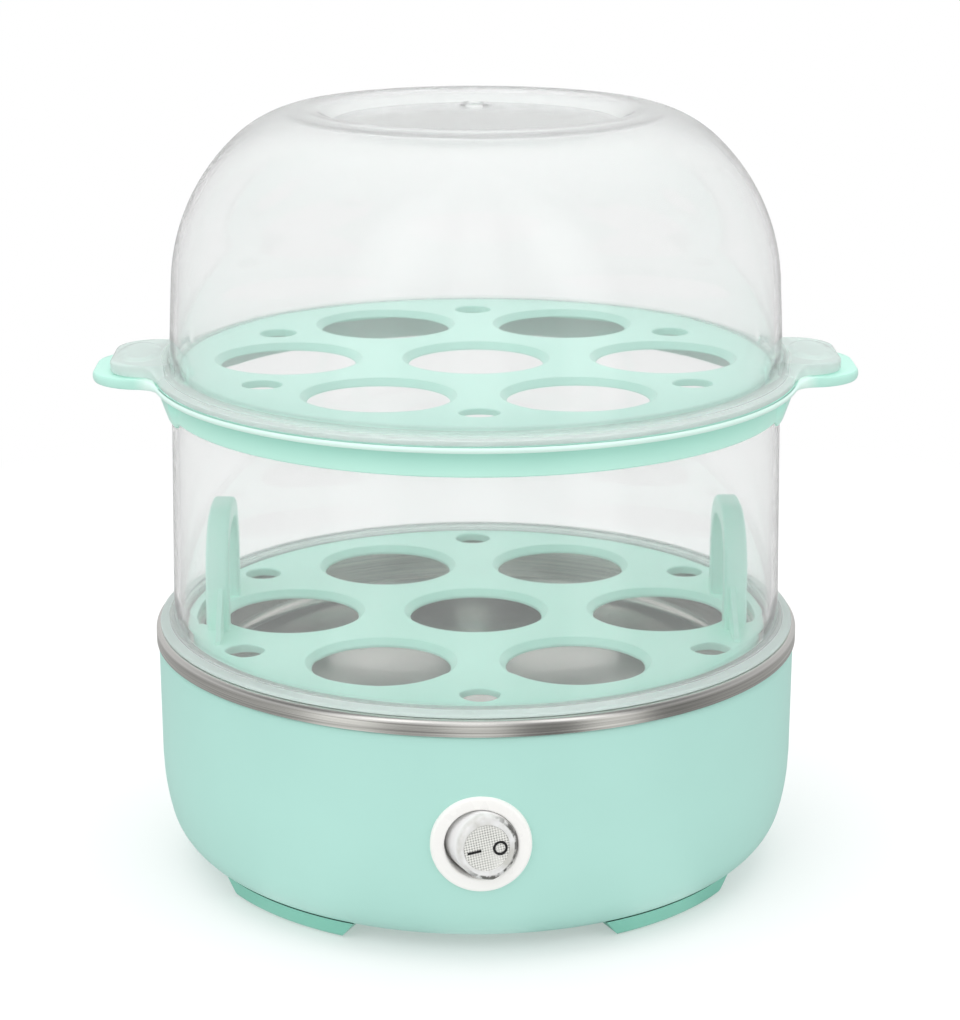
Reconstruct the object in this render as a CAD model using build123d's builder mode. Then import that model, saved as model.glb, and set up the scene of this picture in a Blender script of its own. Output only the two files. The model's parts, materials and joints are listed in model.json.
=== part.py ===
from build123d import *
from math import cos, radians, sin
import os

# Two-tier electric egg cooker, in millimetres.
# The origin is the centre of the footprint on the table and +Z is up. The rocker switch looks along -Y,
# the cord gland along +Y, and the ears of the upper tray and of the lid point along +X and -X.

os.makedirs("parts", exist_ok=True)

# ---------------------------------------------------------------- driving dimensions
rim_r = 80.0  # outside of the pan's steel rim
sheet = 0.8  # steel of the heating pan
lid_wall = 1.6  # clear plastic of the lid and the middle cover
tray_wall = 1.8  # plastic of the trays
shell_wall = 2.4  # plastic of the base

# Heights above the table
cover_z = 3.2  # underside of the bottom cover and lowest edge of the base shell
cover_top_z = 5.4
web_z = 43.7  # underside of the shelf that carries the pan
pan_floor_z = 47.0
lip_z = 60.0  # top of the base shell, under the steel rim
pan_top_z = 60.8
lower_tray_z = 61.5  # top of the lower tray's floor
tray_flange_z = 122.2  # underside of the upper tray's flange, top of the middle cover
lid_flange_z = 123.6  # top of that flange, underside of the lid
upper_tray_z = 126.4  # top of the upper tray's raised floor
crown_z = 188.0

# Egg seats, alike on both trays
seat_ring_r = 46.0
seat_hole_r = 16.5
seat_slope = 1.5
seat_count = 6
lower_steam_r = 64.4
upper_steam_r = 58.2
steam_hole_r = 4.6

# Switch
switch_z = 30.9
bezel_r = 11.65
bezel_front_y = -80.05
bezel_back_y = -78.45
barrel_r = 9.8
bore_r = 8.55
barrel_back_y = -60.0
pivot_depth = 5.0  # pivot behind the bezel's front
rocker_tilt = 12.0  # either way from level
rocker_roll = 9.5  # the line of the two marks rises to the right
rocker_gap = 0.25
rocker_face = 7.37  # height of the rocker's face above its pivot
rocker_under = 5.0
trunnion_r = 1.2
trunnion_fit = 0.05

# Cord inlet
gland_z = 25.0
gland_bore_r = 3.5
gland_seat_y = 77.8

# Fasteners
stud_ring_r = 62.0
stud_angles = (0, 120, 240)
stud_r = 1.5
stud_end_z = 39.5
screw_ring_r = 54.0
screw_angles = (30, 150, 210, 330)
screw_r = 1.2
screw_head_r = 2.8
foot_angles = (-47.5, 47.5, 132.5, 227.5)

# Leads
lead_r = 1.3
tab_w = 6.3
tab_t = 0.8


def turned(angle):
    """Vertical plane through the Z axis, whose x runs out at that azimuth and whose y is +Z."""
    out = (cos(radians(angle)), sin(radians(angle)), 0)
    return Plane(origin=(0, 0, 0), x_dir=out, z_dir=(out[1], -out[0], 0))


def save(part, label):
    """Give a finished piece its name and write it."""
    part.label = label
    export_step(part, f"parts/{label}.step")


# ---------------------------------------------------------------- base shell
shell_corner = (63.17, 17.5)
shell_corner_r = 14.8
shell_side_r = 79.3
shell_top_r = 79.45
shell_step_z = 56.6
lip_outer_r = 79.0
lip_inner_r = 77.1
rebate_r = 65.2  # the bottom cover lies inside this
ledge_in_r = 62.0  # and its edge seats under this inward ledge
shelf_hole_r = 49.0  # the heater hangs through this
boss_r = 4.0
gusset_in_r = 66.0
gusset_drop = 14.0
switch_spot_r = 12.0  # flat seat of the bezel
switch_hole_r = 10.0
gland_spot_r = 9.0
gland_hole_r = 6.2

with BuildPart() as base_shell:
    with BuildSketch(Plane.XZ):
        with BuildLine():
            corner = CenterArc(shell_corner, shell_corner_r, -75, 60.5)
            side = TangentArc(corner @ 1, (shell_side_r, 27.5), tangent=corner % 1)
            flank = Line(side @ 1, (shell_top_r, shell_step_z))
            lip = Polyline(
                flank @ 1,
                (lip_outer_r, shell_step_z),
                (lip_outer_r, lip_z),
                (lip_inner_r, lip_z),
                (lip_inner_r - 0.05, 27.5),
            )
            inner_corner = CenterArc(shell_corner, shell_corner_r - shell_wall, -52.9, 38.4)
            Line(lip @ 1, inner_corner @ 1)
            Polyline(
                inner_corner @ 0,
                (ledge_in_r, (inner_corner @ 0).Y),
                (ledge_in_r, cover_top_z),
                (rebate_r, cover_top_z),
                (rebate_r, (corner @ 0).Y),
                corner @ 0,
            )
        make_face()
    revolve(axis=Axis.Z)
    chamfer(base_shell.edges().filter_by(GeomType.CIRCLE).group_by(Axis.Z)[-1], 0.4)

    # Shelf under the pan's floor, with the bosses for the bottom cover's screws
    with BuildSketch(Plane.XY.offset(web_z)):
        Circle(lip_inner_r + 0.6)
        Circle(shelf_hole_r, mode=Mode.SUBTRACT)
        with PolarLocations(stud_ring_r, len(stud_angles)):
            Circle(stud_r + 0.2, mode=Mode.SUBTRACT)
    extrude(amount=pan_floor_z - sheet - web_z)
    with BuildSketch(Plane.XY.offset(cover_top_z)):
        for angle in screw_angles:
            with Locations(Vector(screw_ring_r, 0).rotate(Axis.Z, angle)):
                Circle(boss_r)
                Circle(screw_r + 0.1, mode=Mode.SUBTRACT)
    extrude(amount=web_z - cover_top_z)

    # Gussets between the shelf and the wall
    for angle in range(15, 360, 30):
        with BuildSketch(turned(angle)):
            with BuildLine():
                Polyline(
                    (gusset_in_r, web_z),
                    (lip_inner_r + 0.1, web_z),
                    (lip_inner_r + 0.1, web_z - gusset_drop),
                    (gusset_in_r, web_z),
                )
            make_face()
        extrude(amount=0.8, both=True)

    # Spot faces and holes for the switch and for the cord gland
    with BuildSketch(Plane.XZ.offset(-bezel_back_y)):
        with Locations((0, switch_z)):
            Circle(switch_spot_r)
    extrude(amount=4.0, mode=Mode.SUBTRACT)
    with BuildSketch(Plane.XZ.offset(60)):
        with Locations((0, switch_z)):
            Circle(switch_hole_r)
    extrude(amount=24.0, mode=Mode.SUBTRACT)
    with BuildSketch(Plane.XZ.offset(-gland_seat_y)):
        with Locations((0, gland_z)):
            Circle(gland_spot_r)
    extrude(amount=-4.0, mode=Mode.SUBTRACT)
    with BuildSketch(Plane.XZ.offset(-66)):
        with Locations((0, gland_z)):
            Circle(gland_hole_r)
    extrude(amount=-20.0, mode=Mode.SUBTRACT)
save(base_shell.part, "base_shell")

# ---------------------------------------------------------------- heating pan
ledge_z = 59.4  # ledge inside the rim, which carries the lower tray
ledge_r = 69.5
rim_inner_r = 76.2
rim_low_z = 56.85
pan_wall_r = 67.0

with BuildPart() as heating_pan:
    with BuildSketch(Plane.XZ):
        with BuildLine():
            FilletPolyline(
                (rim_r, rim_low_z),
                (rim_r, pan_top_z),
                (rim_inner_r, pan_top_z),
                (rim_inner_r, ledge_z),
                (ledge_r, ledge_z),
                (pan_wall_r, pan_floor_z),
                (0, pan_floor_z),
                radius=(1.2, 0.9, 0.4, 1.6, 4.0),
            )
            offset(amount=sheet, side=Side.LEFT)
        make_face()
    revolve(axis=Axis.Z)
    # Welded studs under the floor
    with BuildSketch(Plane.XY.offset(stud_end_z)):
        with PolarLocations(stud_ring_r, len(stud_angles)):
            Circle(stud_r)
    extrude(amount=pan_floor_z - sheet - stud_end_z)
save(heating_pan.part, "heating_pan")

# ---------------------------------------------------------------- bottom cover and feet
foot_in_r = 60.5
foot_out_r = 70.0
foot_z = 0.3
foot_span = 35.0  # degrees at the top of a foot
pad_length = 14.0
pad_width = 5.6
pad_ring_r = 65.2
pad_top_z = 2.4

with BuildPart() as foot:
    with BuildSketch(turned(-foot_span / 2)):
        with BuildLine():
            # The top follows the round underside of the shell a quarter of a millimetre below it
            under_shell = CenterArc(shell_corner, shell_corner_r + 0.25, -74.5, 15.2)
            Polyline(
                under_shell @ 0,
                (rebate_r - 0.3, cover_z - 0.2),
                (rebate_r - 0.5, cover_z - 0.2),
                (rebate_r - 0.5, cover_z + 1.0),
                (foot_in_r, cover_z + 1.0),
                (foot_in_r, foot_z),
                (foot_out_r, foot_z),
                under_shell @ 1,
            )
        make_face()
    revolve(axis=Axis.Z, revolution_arc=foot_span)
    # Both ends slope in towards the table
    for end in (1, -1):
        out = Vector(*turned(end * foot_span / 2).x_dir)
        top = out * 66 + Vector(0, 0, 4.4)
        low = Vector(*turned(end * (foot_span / 2 - 3)).x_dir) * 66 + Vector(0, 0, foot_z)
        slope = Plane(origin=low, x_dir=out, z_dir=out.cross(top - low))
        split(bisect_by=slope, keep=Keep.TOP if slope.to_local_coords(Vector(66, 0, 2)).Z > 0 else Keep.BOTTOM)
    fillet(foot.faces().sort_by(Axis.Z)[0].edges(), 1.0)
    with BuildSketch(Plane.XY):
        with Locations((pad_ring_r, 0)):
            SlotOverall(pad_length + 0.2, pad_width + 0.2, rotation=90)
    extrude(amount=pad_top_z, mode=Mode.SUBTRACT)

with BuildPart() as bottom_cover:
    with BuildSketch(Plane.XY.offset(cover_z)):
        Circle(rebate_r - 0.3)
    extrude(amount=cover_top_z - cover_z)
    for angle in foot_angles:
        with Locations(Rotation(0, 0, angle)):
            add(foot.part)
    # Screw wells
    for angle in screw_angles:
        with Locations(Vector(screw_ring_r, 0, cover_z).rotate(Axis.Z, angle)):
            Cylinder(screw_r + 0.4, 3 * cover_top_z, mode=Mode.SUBTRACT)
            Cylinder(screw_head_r + 0.4, 2.0, mode=Mode.SUBTRACT)
    # Air slots in two rows
    with BuildSketch(Plane.XY.offset(cover_z)):
        with GridLocations(9.0, 44.0, 7, 2):
            SlotOverall(26.0, 3.0, rotation=90)
    extrude(amount=cover_top_z, mode=Mode.SUBTRACT)
save(bottom_cover.part, "bottom_cover")

for number, angle in enumerate(foot_angles, start=1):
    with BuildPart() as foot_pad:
        with BuildSketch(Plane.XY):
            with Locations(Vector(pad_ring_r, 0).rotate(Axis.Z, angle)):
                SlotOverall(pad_length, pad_width, rotation=90 + angle)
        extrude(amount=pad_top_z)
        chamfer(foot_pad.faces().sort_by(Axis.Z)[0].edges(), 0.25)
    save(foot_pad.part, f"foot_pad_{number}")

with BuildPart() as cover_screws:
    for angle in screw_angles:
        with Locations(Vector(screw_ring_r, 0, 4.2).rotate(Axis.Z, angle)):
            Cylinder(screw_r, 15.0, align=(Align.CENTER, Align.CENTER, Align.MIN))
            Cylinder(screw_head_r, 1.8, align=(Align.CENTER, Align.CENTER, Align.MAX))
save(cover_screws.part, "cover_screws")

# ---------------------------------------------------------------- heater under the pan
pan_under_z = pan_floor_z - sheet
plate_z = 43.6
plate_r = 44.0
tube_ring_r = 34.0
tube_r = 3.3
tube_z = 41.0
tube_start = 140  # azimuth where the tube begins
tube_arc = 260
fuse_y = -18.0
fuse_r = 2.5
bracket_screw_x = 14.0
clip_screw_y = -25.0

with BuildPart() as heater_plate:
    with BuildSketch(Plane.XY.offset(plate_z)):
        Circle(plate_r)
        Circle(9.0, mode=Mode.SUBTRACT)
        with Locations((bracket_screw_x, 0), (-bracket_screw_x, 0), (0, clip_screw_y)):
            Circle(1.6, mode=Mode.SUBTRACT)
    extrude(amount=pan_under_z - plate_z)
save(heater_plate.part, "heater_plate")

with BuildPart() as heating_tube:
    with BuildSketch(turned(tube_start)) as tube_section:
        with Locations((tube_ring_r, tube_z)):
            Circle(tube_r)
        with Locations((tube_ring_r, plate_z)):
            Rectangle(4 * tube_r, 4, align=(Align.CENTER, Align.MIN), mode=Mode.SUBTRACT)
    revolve(axis=Axis.Z, revolution_arc=tube_arc)
    # Straight cold ends
    tube_ends = heating_tube.faces().filter_by(GeomType.PLANE).filter_by(lambda f: abs(f.normal_at().Z) < 0.1)
    extrude(tube_ends, amount=6.0)
save(heating_tube.part, "heating_tube")

# The tube's ends leave its ring along the tangent. These planes stand on them and look outwards.
end_planes = []
for side_sign in (1, -1):
    start = Vector(side_sign * tube_ring_r * cos(radians(40)), tube_ring_r * sin(radians(40)), tube_z)
    heading = Vector(-side_sign * sin(radians(40)), cos(radians(40)), 0)
    end_planes.append(Plane(origin=start + heading * 6.0, x_dir=Vector(0, 0, 1).cross(heading), z_dir=heading))

with BuildPart() as element_terminals:
    for plane in end_planes:
        with Locations(plane):
            Cylinder(2.4, 3.0, align=(Align.CENTER, Align.CENTER, Align.MIN))
        with Locations(plane.offset(3.0)):
            Box(tab_w, tab_t, 8.0, align=(Align.CENTER, Align.CENTER, Align.MIN))
save(element_terminals.part, "element_terminals")

with BuildPart() as thermostat:
    with Locations((0, 0, pan_under_z)):
        Cylinder(8.4, pan_under_z - plate_z, align=(Align.CENTER, Align.CENTER, Align.MAX))
    with Locations((0, 0, plate_z)):
        Cylinder(7.5, 7.6, align=(Align.CENTER, Align.CENTER, Align.MAX))
    with Locations((4, 0, plate_z - 7.6), (-4, 0, plate_z - 7.6)):
        Box(tab_t, tab_w, 8.0, align=(Align.CENTER, Align.CENTER, Align.MAX))
save(thermostat.part, "thermostat")

with BuildPart() as thermostat_bracket:
    with BuildSketch(Plane.XY.offset(plate_z)):
        SlotOverall(36.0, 18.0)
        Circle(7.65, mode=Mode.SUBTRACT)
        with Locations((bracket_screw_x, 0), (-bracket_screw_x, 0)):
            Circle(1.6, mode=Mode.SUBTRACT)
    extrude(amount=-0.8)
save(thermostat_bracket.part, "thermostat_bracket")

with BuildPart() as thermal_fuse:
    with Locations(Plane(origin=(0, fuse_y, plate_z - fuse_r), x_dir=(0, 1, 0), z_dir=(1, 0, 0))):
        Cylinder(fuse_r, 12.0)
        Cylinder(0.5, 18.0)
save(thermal_fuse.part, "thermal_fuse")

with BuildPart() as fuse_clip:
    with BuildSketch(Plane.YZ):
        with BuildLine():
            FilletPolyline(
                (clip_screw_y - 3.0, plate_z),
                (fuse_y - 3.2, plate_z),
                (fuse_y - 3.2, plate_z - 2 * fuse_r - 0.1),
                (fuse_y + 3.2, plate_z - 2 * fuse_r - 0.1),
                (fuse_y + 3.2, plate_z),
                radius=(0.8, 1.6, 1.6),
            )
            offset(amount=0.6, side=Side.RIGHT)
        make_face()
    extrude(amount=3.0, both=True)
    with Locations((0, clip_screw_y, plate_z)):
        Cylinder(1.6, 4.0, mode=Mode.SUBTRACT)
save(fuse_clip.part, "fuse_clip")

with BuildPart() as heater_screws:
    with Locations((bracket_screw_x, 0, plate_z - 0.8), (-bracket_screw_x, 0, plate_z - 0.8)):
        Cylinder(2.7, 2.0, align=(Align.CENTER, Align.CENTER, Align.MAX))
        Cylinder(1.5, 3.2, align=(Align.CENTER, Align.CENTER, Align.MIN))
    with Locations((0, clip_screw_y, plate_z - 0.6)):
        Cylinder(2.7, 2.0, align=(Align.CENTER, Align.CENTER, Align.MAX))
        Cylinder(1.5, 3.0, align=(Align.CENTER, Align.CENTER, Align.MIN))
save(heater_screws.part, "heater_screws")

# ---------------------------------------------------------------- pan nuts and earth tag
lug_t = 0.8

with BuildPart() as earth_tag:
    with BuildSketch(Plane.XY.offset(web_z)):
        with Locations((stud_ring_r, 0)):
            Circle(3.4)
        with Locations((stud_ring_r - 5.0, 0)):
            Rectangle(8.0, 3.4)
        with Locations((stud_ring_r, 0)):
            Circle(1.6, mode=Mode.SUBTRACT)
    extrude(amount=-lug_t)
    with Locations((stud_ring_r - 7.5, 0, web_z - 0.2)):
        Box(5.0, 3.4, 2.6, align=(Align.CENTER, Align.CENTER, Align.MAX))
save(earth_tag.part, "earth_tag")

with BuildPart() as pan_nuts:
    for angle in stud_angles:
        nut_top = web_z - lug_t if angle == 0 else web_z
        with BuildSketch(Plane.XY.offset(nut_top)):
            with Locations(Vector(stud_ring_r, 0).rotate(Axis.Z, angle)):
                RegularPolygon(2.75, 6, major_radius=False)
                Circle(1.55, mode=Mode.SUBTRACT)
        extrude(amount=-2.4)
save(pan_nuts.part, "pan_nuts")

# ---------------------------------------------------------------- terminal block
block_y = 48.0
block_front_y = 41.0
pole_x = (-12.0, -4.0, 4.0, 12.0)
pole_z = 10.4

with BuildPart() as terminal_block:
    with Locations((0, block_y, cover_top_z)):
        Box(32.0, 2 * (block_y - block_front_y), 9.0, align=(Align.CENTER, Align.CENTER, Align.MIN))
    chamfer(terminal_block.edges().filter_by(Axis.Z), 1.0)
    for x in pole_x:
        with Locations((x, block_y, cover_top_z + 9.0)):
            Cylinder(2.2, 2.5, align=(Align.CENTER, Align.CENTER, Align.MAX), mode=Mode.SUBTRACT)
save(terminal_block.part, "terminal_block")

# ---------------------------------------------------------------- switch
pivot = Vector(0, bezel_front_y + pivot_depth, switch_z)
outward = Vector(0, -1, 0)
across = Vector(cos(radians(rocker_roll)), 0, sin(radians(rocker_roll)))
hinge_up = outward.cross(across)
switch_plane = Plane(origin=(0, bezel_back_y, switch_z), x_dir=across, z_dir=outward)
barrel_depth = bezel_back_y - barrel_back_y  # negative: inwards
tab_x = (-6.0, 0.0, 6.0)


def rocker_plane(angle):
    """The rocker's own plane at its pivot, turned about the hinge by that angle from level."""
    tilt = radians(angle)
    return Plane(
        origin=pivot,
        x_dir=across * cos(tilt) - outward * sin(tilt),
        z_dir=outward * cos(tilt) + across * sin(tilt),
    )


with BuildPart() as switch_housing:
    with BuildSketch(switch_plane):
        Circle(bezel_r)
    extrude(amount=bezel_back_y - bezel_front_y)
    fillet(switch_housing.edges().filter_by(GeomType.CIRCLE).sort_by(Axis.Y)[0], 0.9)
    with BuildSketch(switch_plane):
        Circle(barrel_r)
    extrude(amount=barrel_depth)
    # Snap latches that hold the shell's wall against the bezel
    with BuildSketch(Plane.XY.offset(switch_z)):
        for latch in (1, -1):
            with BuildLine():
                Polyline(
                    (latch * 9.0, -76.0),
                    (latch * 10.6, -76.0),
                    (latch * 9.7, -70.0),
                    (latch * 9.0, -70.0),
                    (latch * 9.0, -76.0),
                )
            make_face()
    extrude(amount=3.0, both=True)
    with BuildSketch(switch_plane.offset(4)):
        Circle(bore_r)
    extrude(amount=-(4 + abs(barrel_depth) - 2.0), mode=Mode.SUBTRACT)
    mouth = switch_housing.edges().filter_by(GeomType.CIRCLE).group_by(Axis.Y)[0].sort_by(SortBy.RADIUS)[0]
    chamfer(mouth, 0.3)
    with Locations(Plane(origin=pivot, z_dir=hinge_up)):
        Cylinder(trunnion_r + trunnion_fit, 2 * barrel_r + 1, mode=Mode.SUBTRACT)
    with Locations(*[(x, barrel_back_y, switch_z) for x in tab_x]):
        Box(tab_t + 0.1, 8.0, tab_w + 0.1, mode=Mode.SUBTRACT)
save(switch_housing.part, "switch_housing")

with BuildPart() as switch_terminals:
    with Locations(*[(x, barrel_back_y - 3.0, switch_z) for x in tab_x]):
        Box(tab_t, 11.0, tab_w, align=(Align.CENTER, Align.MIN, Align.CENTER))
save(switch_terminals.part, "switch_terminals")

with BuildPart() as switch_rocker:
    # What stays inside the bore at both ends of the travel
    for number, tilt in enumerate((0.0, 2 * rocker_tilt)):
        with BuildSketch(rocker_plane(tilt).offset(-15)):
            Circle(bore_r - rocker_gap)
        extrude(amount=35, mode=Mode.INTERSECT if number else Mode.ADD)
    with BuildSketch(rocker_plane(rocker_tilt).offset(-rocker_under)):
        Circle(12)
    extrude(amount=rocker_under + rocker_face, mode=Mode.INTERSECT)
    face = switch_rocker.faces().filter_by(GeomType.PLANE).sort_by(Axis.Y)[0]
    fillet(face.edges(), 0.5)
    with Locations(Plane(origin=pivot, z_dir=hinge_up)):
        Cylinder(trunnion_r, 2 * barrel_r - 0.4)
    # Open underneath, for the lamp
    with BuildSketch(rocker_plane(rocker_tilt).offset(-rocker_under)):
        Circle(5.4)
    extrude(amount=rocker_under + 5.4, mode=Mode.SUBTRACT)
save(switch_rocker.part, "switch_rocker")

lamp_r = 2.0
with BuildPart() as indicator_lamp:
    with Locations(Plane(origin=rocker_plane(rocker_tilt).offset(5.4 - lamp_r).origin, z_dir=hinge_up)):
        Cylinder(lamp_r, 7.0)
    fillet(indicator_lamp.edges().filter_by(GeomType.CIRCLE), 0.9)
save(indicator_lamp.part, "indicator_lamp")

# ---------------------------------------------------------------- cord gland
gland_end_y = -(pivot.Y - rocker_face * cos(radians(rocker_tilt)) - 6.9 * sin(radians(rocker_tilt)))

with BuildPart() as cord_gland:
    with BuildSketch(Plane(origin=(0, 0, gland_z), x_dir=(1, 0, 0), z_dir=(0, 0, 1))):
        with BuildLine():
            Polyline(
                (gland_bore_r, 71.0),
                (5.8, 71.0),
                (6.9, 74.0),
                (6.9, 74.7),
                (6.05, 74.7),
                (6.05, gland_seat_y),
                (8.5, gland_seat_y),
                (8.5, gland_seat_y + 1.6),
                (5.9, gland_seat_y + 2.6),
                (5.3, gland_end_y),
                (gland_bore_r, gland_end_y),
                (gland_bore_r, 71.0),
            )
        make_face()
    revolve(axis=Axis((0, 0, gland_z), (0, 1, 0)))
save(cord_gland.part, "cord_gland")

# ---------------------------------------------------------------- leads inside the base
grip = 4.0  # how far a receptacle reaches past its tab


def receptacle(plane):
    """Push-on sleeve over a tab. The plane stands on the tab's end and looks away from it."""
    with Locations(plane.offset(-7.0)):
        Box(tab_w + 1.2, tab_t + 1.6, 7.0 + grip, align=(Align.CENTER, Align.CENTER, Align.MIN))
        Box(tab_w + 0.1, tab_t + 0.1, 7.0, align=(Align.CENTER, Align.CENTER, Align.MIN), mode=Mode.SUBTRACT)


def tab_end(x, y, z, x_dir, z_dir):
    return Plane(origin=(x, y, z), x_dir=x_dir, z_dir=z_dir)


switch_ends = [tab_end(x, barrel_back_y + 8.0, switch_z, (0, 0, 1), (0, 1, 0)) for x in tab_x]
thermostat_ends = [tab_end(x, 0, plate_z - 15.6, (0, 1, 0), (0, 0, -1)) for x in (4, -4)]
element_ends = [plane.offset(11.0) for plane in end_planes]
fuse_wire_x = 9.0
fuse_wire_z = plate_z - fuse_r

# Each lead: the tabs that it pushes onto, and its route as points with the bend radius at each corner
lead_routes = {
    "lead_live": (
        [switch_ends[0]],
        [
            (-4, block_front_y, pole_z),
            (-4, 33, pole_z),
            (-10, 14, 8.5),
            (-11, -10, 10),
            (-9, -28, 20),
            (-6, -38, switch_z),
            (-6, -52 + grip, switch_z),
        ],
        (20, 20, 20, 16, 8),
    ),
    "lead_switched": (
        [switch_ends[1], thermostat_ends[0]],
        [
            (0, -52 + grip, switch_z),
            (0, -38, switch_z),
            (2.5, -26, 18),
            (4, -13, 9),
            (4, 0, 9),
            (4, 0, plate_z - 15.6 - grip),
        ],
        (8, 14, 9, 7),
    ),
    "lead_element": (
        [thermostat_ends[1], element_ends[1]],
        [
            element_ends[1].offset(grip).origin,
            element_ends[1].offset(grip + 8).origin,
            (-5, 44, 28),
            (-5, 26, 17),
            (-4, 12, 10),
            (-4, 0, 9),
            (-4, 0, plate_z - 15.6 - grip),
        ],
        (6, 10, 16, 10, 7),
    ),
    "lead_fuse": (
        [element_ends[0]],
        [
            element_ends[0].offset(grip).origin,
            element_ends[0].offset(grip + 8).origin,
            (9, 45, 26),
            (21, 26, 17),
            (25, 2, 16),
            (19, -15, 25),
            (17, fuse_y, fuse_wire_z),
            (fuse_wire_x, fuse_y, fuse_wire_z),
        ],
        (6, 10, 16, 16, 12, 5),
    ),
    "lead_neutral": (
        [],
        [
            (-fuse_wire_x, fuse_y, fuse_wire_z),
            (-17, fuse_y, fuse_wire_z),
            (-19, -15, 25),
            (-27, -2, 14),
            (-22, 16, 9),
            (-12, 33, pole_z),
            (-12, block_front_y, pole_z),
        ],
        (5, 12, 16, 16, 8),
    ),
    "lead_lamp": (
        [switch_ends[2]],
        [
            (6, -52 + grip, switch_z),
            (6, -38, switch_z),
            (11, -26, 19),
            (13, -6, 9),
            (10, 16, 8.5),
            (4, 33, pole_z),
            (4, block_front_y, pole_z),
        ],
        (8, 14, 20, 20, 12),
    ),
    "lead_earth": (
        [],
        [
            (stud_ring_r - 10.0, 0, web_z - 1.6),
            (46, 0, web_z - 1.6),
            (40, 6, 28),
            (30, 20, 13),
            (12, 33, pole_z),
            (12, block_front_y, pole_z),
        ],
        (5, 12, 12, 6),
    ),
}

for label, (tabs, route, bends) in lead_routes.items():
    with BuildPart() as lead:
        with BuildLine() as path:
            FilletPolyline(*route, radius=bends)
        with BuildSketch(Plane(origin=path.line @ 0, z_dir=path.line % 0)):
            Circle(lead_r)
        sweep(path=path.line)
        for tab in tabs:
            receptacle(tab)
    save(lead.part, label)

# ---------------------------------------------------------------- trays
handle_in_x = 60.6
handle_out_x = 66.2
handle_half_y = 17.0
slot_half_y = 12.0
handle_top_z = 90.0
handle_bar = 5.0
handle_corner_r = 14.0
window_corner_r = 9.0
floor_slot_out_r = 70.0
gusset_x = 62.5
lower_tray_r = 72.6


def seats(top_z, depth, steam_ring_r):
    """Cut the egg seats, with a sloping edge at the top, and the steam holes between them."""
    with Locations((0, 0, top_z)):
        with PolarLocations(seat_ring_r, seat_count):
            egg_seat(depth)
        egg_seat(depth)
        with PolarLocations(steam_ring_r, seat_count, start_angle=30):
            Cylinder(steam_hole_r, 2 * depth, mode=Mode.SUBTRACT)


def egg_seat(depth):
    Cylinder(seat_hole_r, 2 * depth, mode=Mode.SUBTRACT)
    Cone(
        seat_hole_r,
        seat_hole_r + seat_slope,
        seat_slope,
        align=(Align.CENTER, Align.CENTER, Align.MAX),
        mode=Mode.SUBTRACT,
    )


with BuildPart() as lower_tray:
    with BuildSketch(Plane.XY.offset(ledge_z)):
        Circle(lower_tray_r)
    extrude(amount=lower_tray_z - ledge_z)
    fillet(lower_tray.edges().sort_by(Axis.Z)[-1], 0.8)
    seats(lower_tray_z, 6.0, lower_steam_r)
    for side_sign in (1, -1):
        # Arched handle
        with BuildSketch(Plane.YZ.offset(side_sign * handle_in_x)):
            with BuildLine():
                FilletPolyline(
                    (-handle_half_y, ledge_z + 0.4),
                    (-handle_half_y, handle_top_z),
                    (handle_half_y, handle_top_z),
                    (handle_half_y, ledge_z + 0.4),
                    radius=handle_corner_r,
                )
                Line((handle_half_y, ledge_z + 0.4), (-handle_half_y, ledge_z + 0.4))
            make_face()
            with BuildLine():
                FilletPolyline(
                    (-slot_half_y, ledge_z),
                    (-slot_half_y, handle_top_z - handle_bar),
                    (slot_half_y, handle_top_z - handle_bar),
                    (slot_half_y, ledge_z),
                    radius=window_corner_r,
                )
                Line((slot_half_y, ledge_z), (-slot_half_y, ledge_z))
            make_face(mode=Mode.SUBTRACT)
        extrude(amount=side_sign * (handle_out_x - handle_in_x))
        # Slot through the floor outside the handle
        with BuildSketch(Plane.XY.offset(ledge_z - 1)):
            Circle(floor_slot_out_r)
            with Locations((side_sign * (handle_out_x + 2.0), 0)):
                Rectangle(4.0, 2 * slot_half_y, mode=Mode.INTERSECT)
        extrude(amount=6.0, mode=Mode.SUBTRACT)
        # Gussets in front of the legs and behind them
        for leg in (1, -1):
            with BuildSketch(Plane.YZ.offset(side_sign * gusset_x)):
                with BuildLine():
                    Polyline(
                        (leg * (handle_half_y - 0.5), lower_tray_z - 0.5),
                        (leg * (handle_half_y + 11), lower_tray_z - 0.5),
                        (leg * (handle_half_y + 11), lower_tray_z + 0.8),
                        (leg * (handle_half_y - 0.5), lower_tray_z + 11.5),
                        (leg * (handle_half_y - 0.5), lower_tray_z - 0.5),
                    )
                make_face()
            extrude(amount=0.6, both=True)
save(lower_tray.part, "lower_tray")

# ---------------------------------------------------------------- middle cover
cover_foot_r = 75.5
cover_head_r = 74.4
cover_flange_r = 79.0
spigot_r = 75.4  # drops inside the pan's rim
spigot_z = 59.9

with BuildPart() as middle_cover:
    with BuildSketch(Plane.XZ) as cover_section:
        with BuildLine():
            Polyline(
                (cover_foot_r - lid_wall, spigot_z),
                (spigot_r, spigot_z),
                (spigot_r, pan_top_z),
                (cover_flange_r, pan_top_z),
                (cover_flange_r, pan_top_z + 0.9),
                (cover_foot_r + 0.4, pan_top_z + 1.6),
                (cover_head_r, tray_flange_z),
                (cover_head_r - lid_wall, tray_flange_z),
                (cover_foot_r - lid_wall, lower_tray_z),
                (cover_foot_r - lid_wall, spigot_z),
            )
        make_face()
        fillet(cover_section.vertices().group_by(Axis.X)[-1].sort_by(Axis.Z)[-1], 0.6)
    revolve(axis=Axis.Z)
save(middle_cover.part, "middle_cover")

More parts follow.
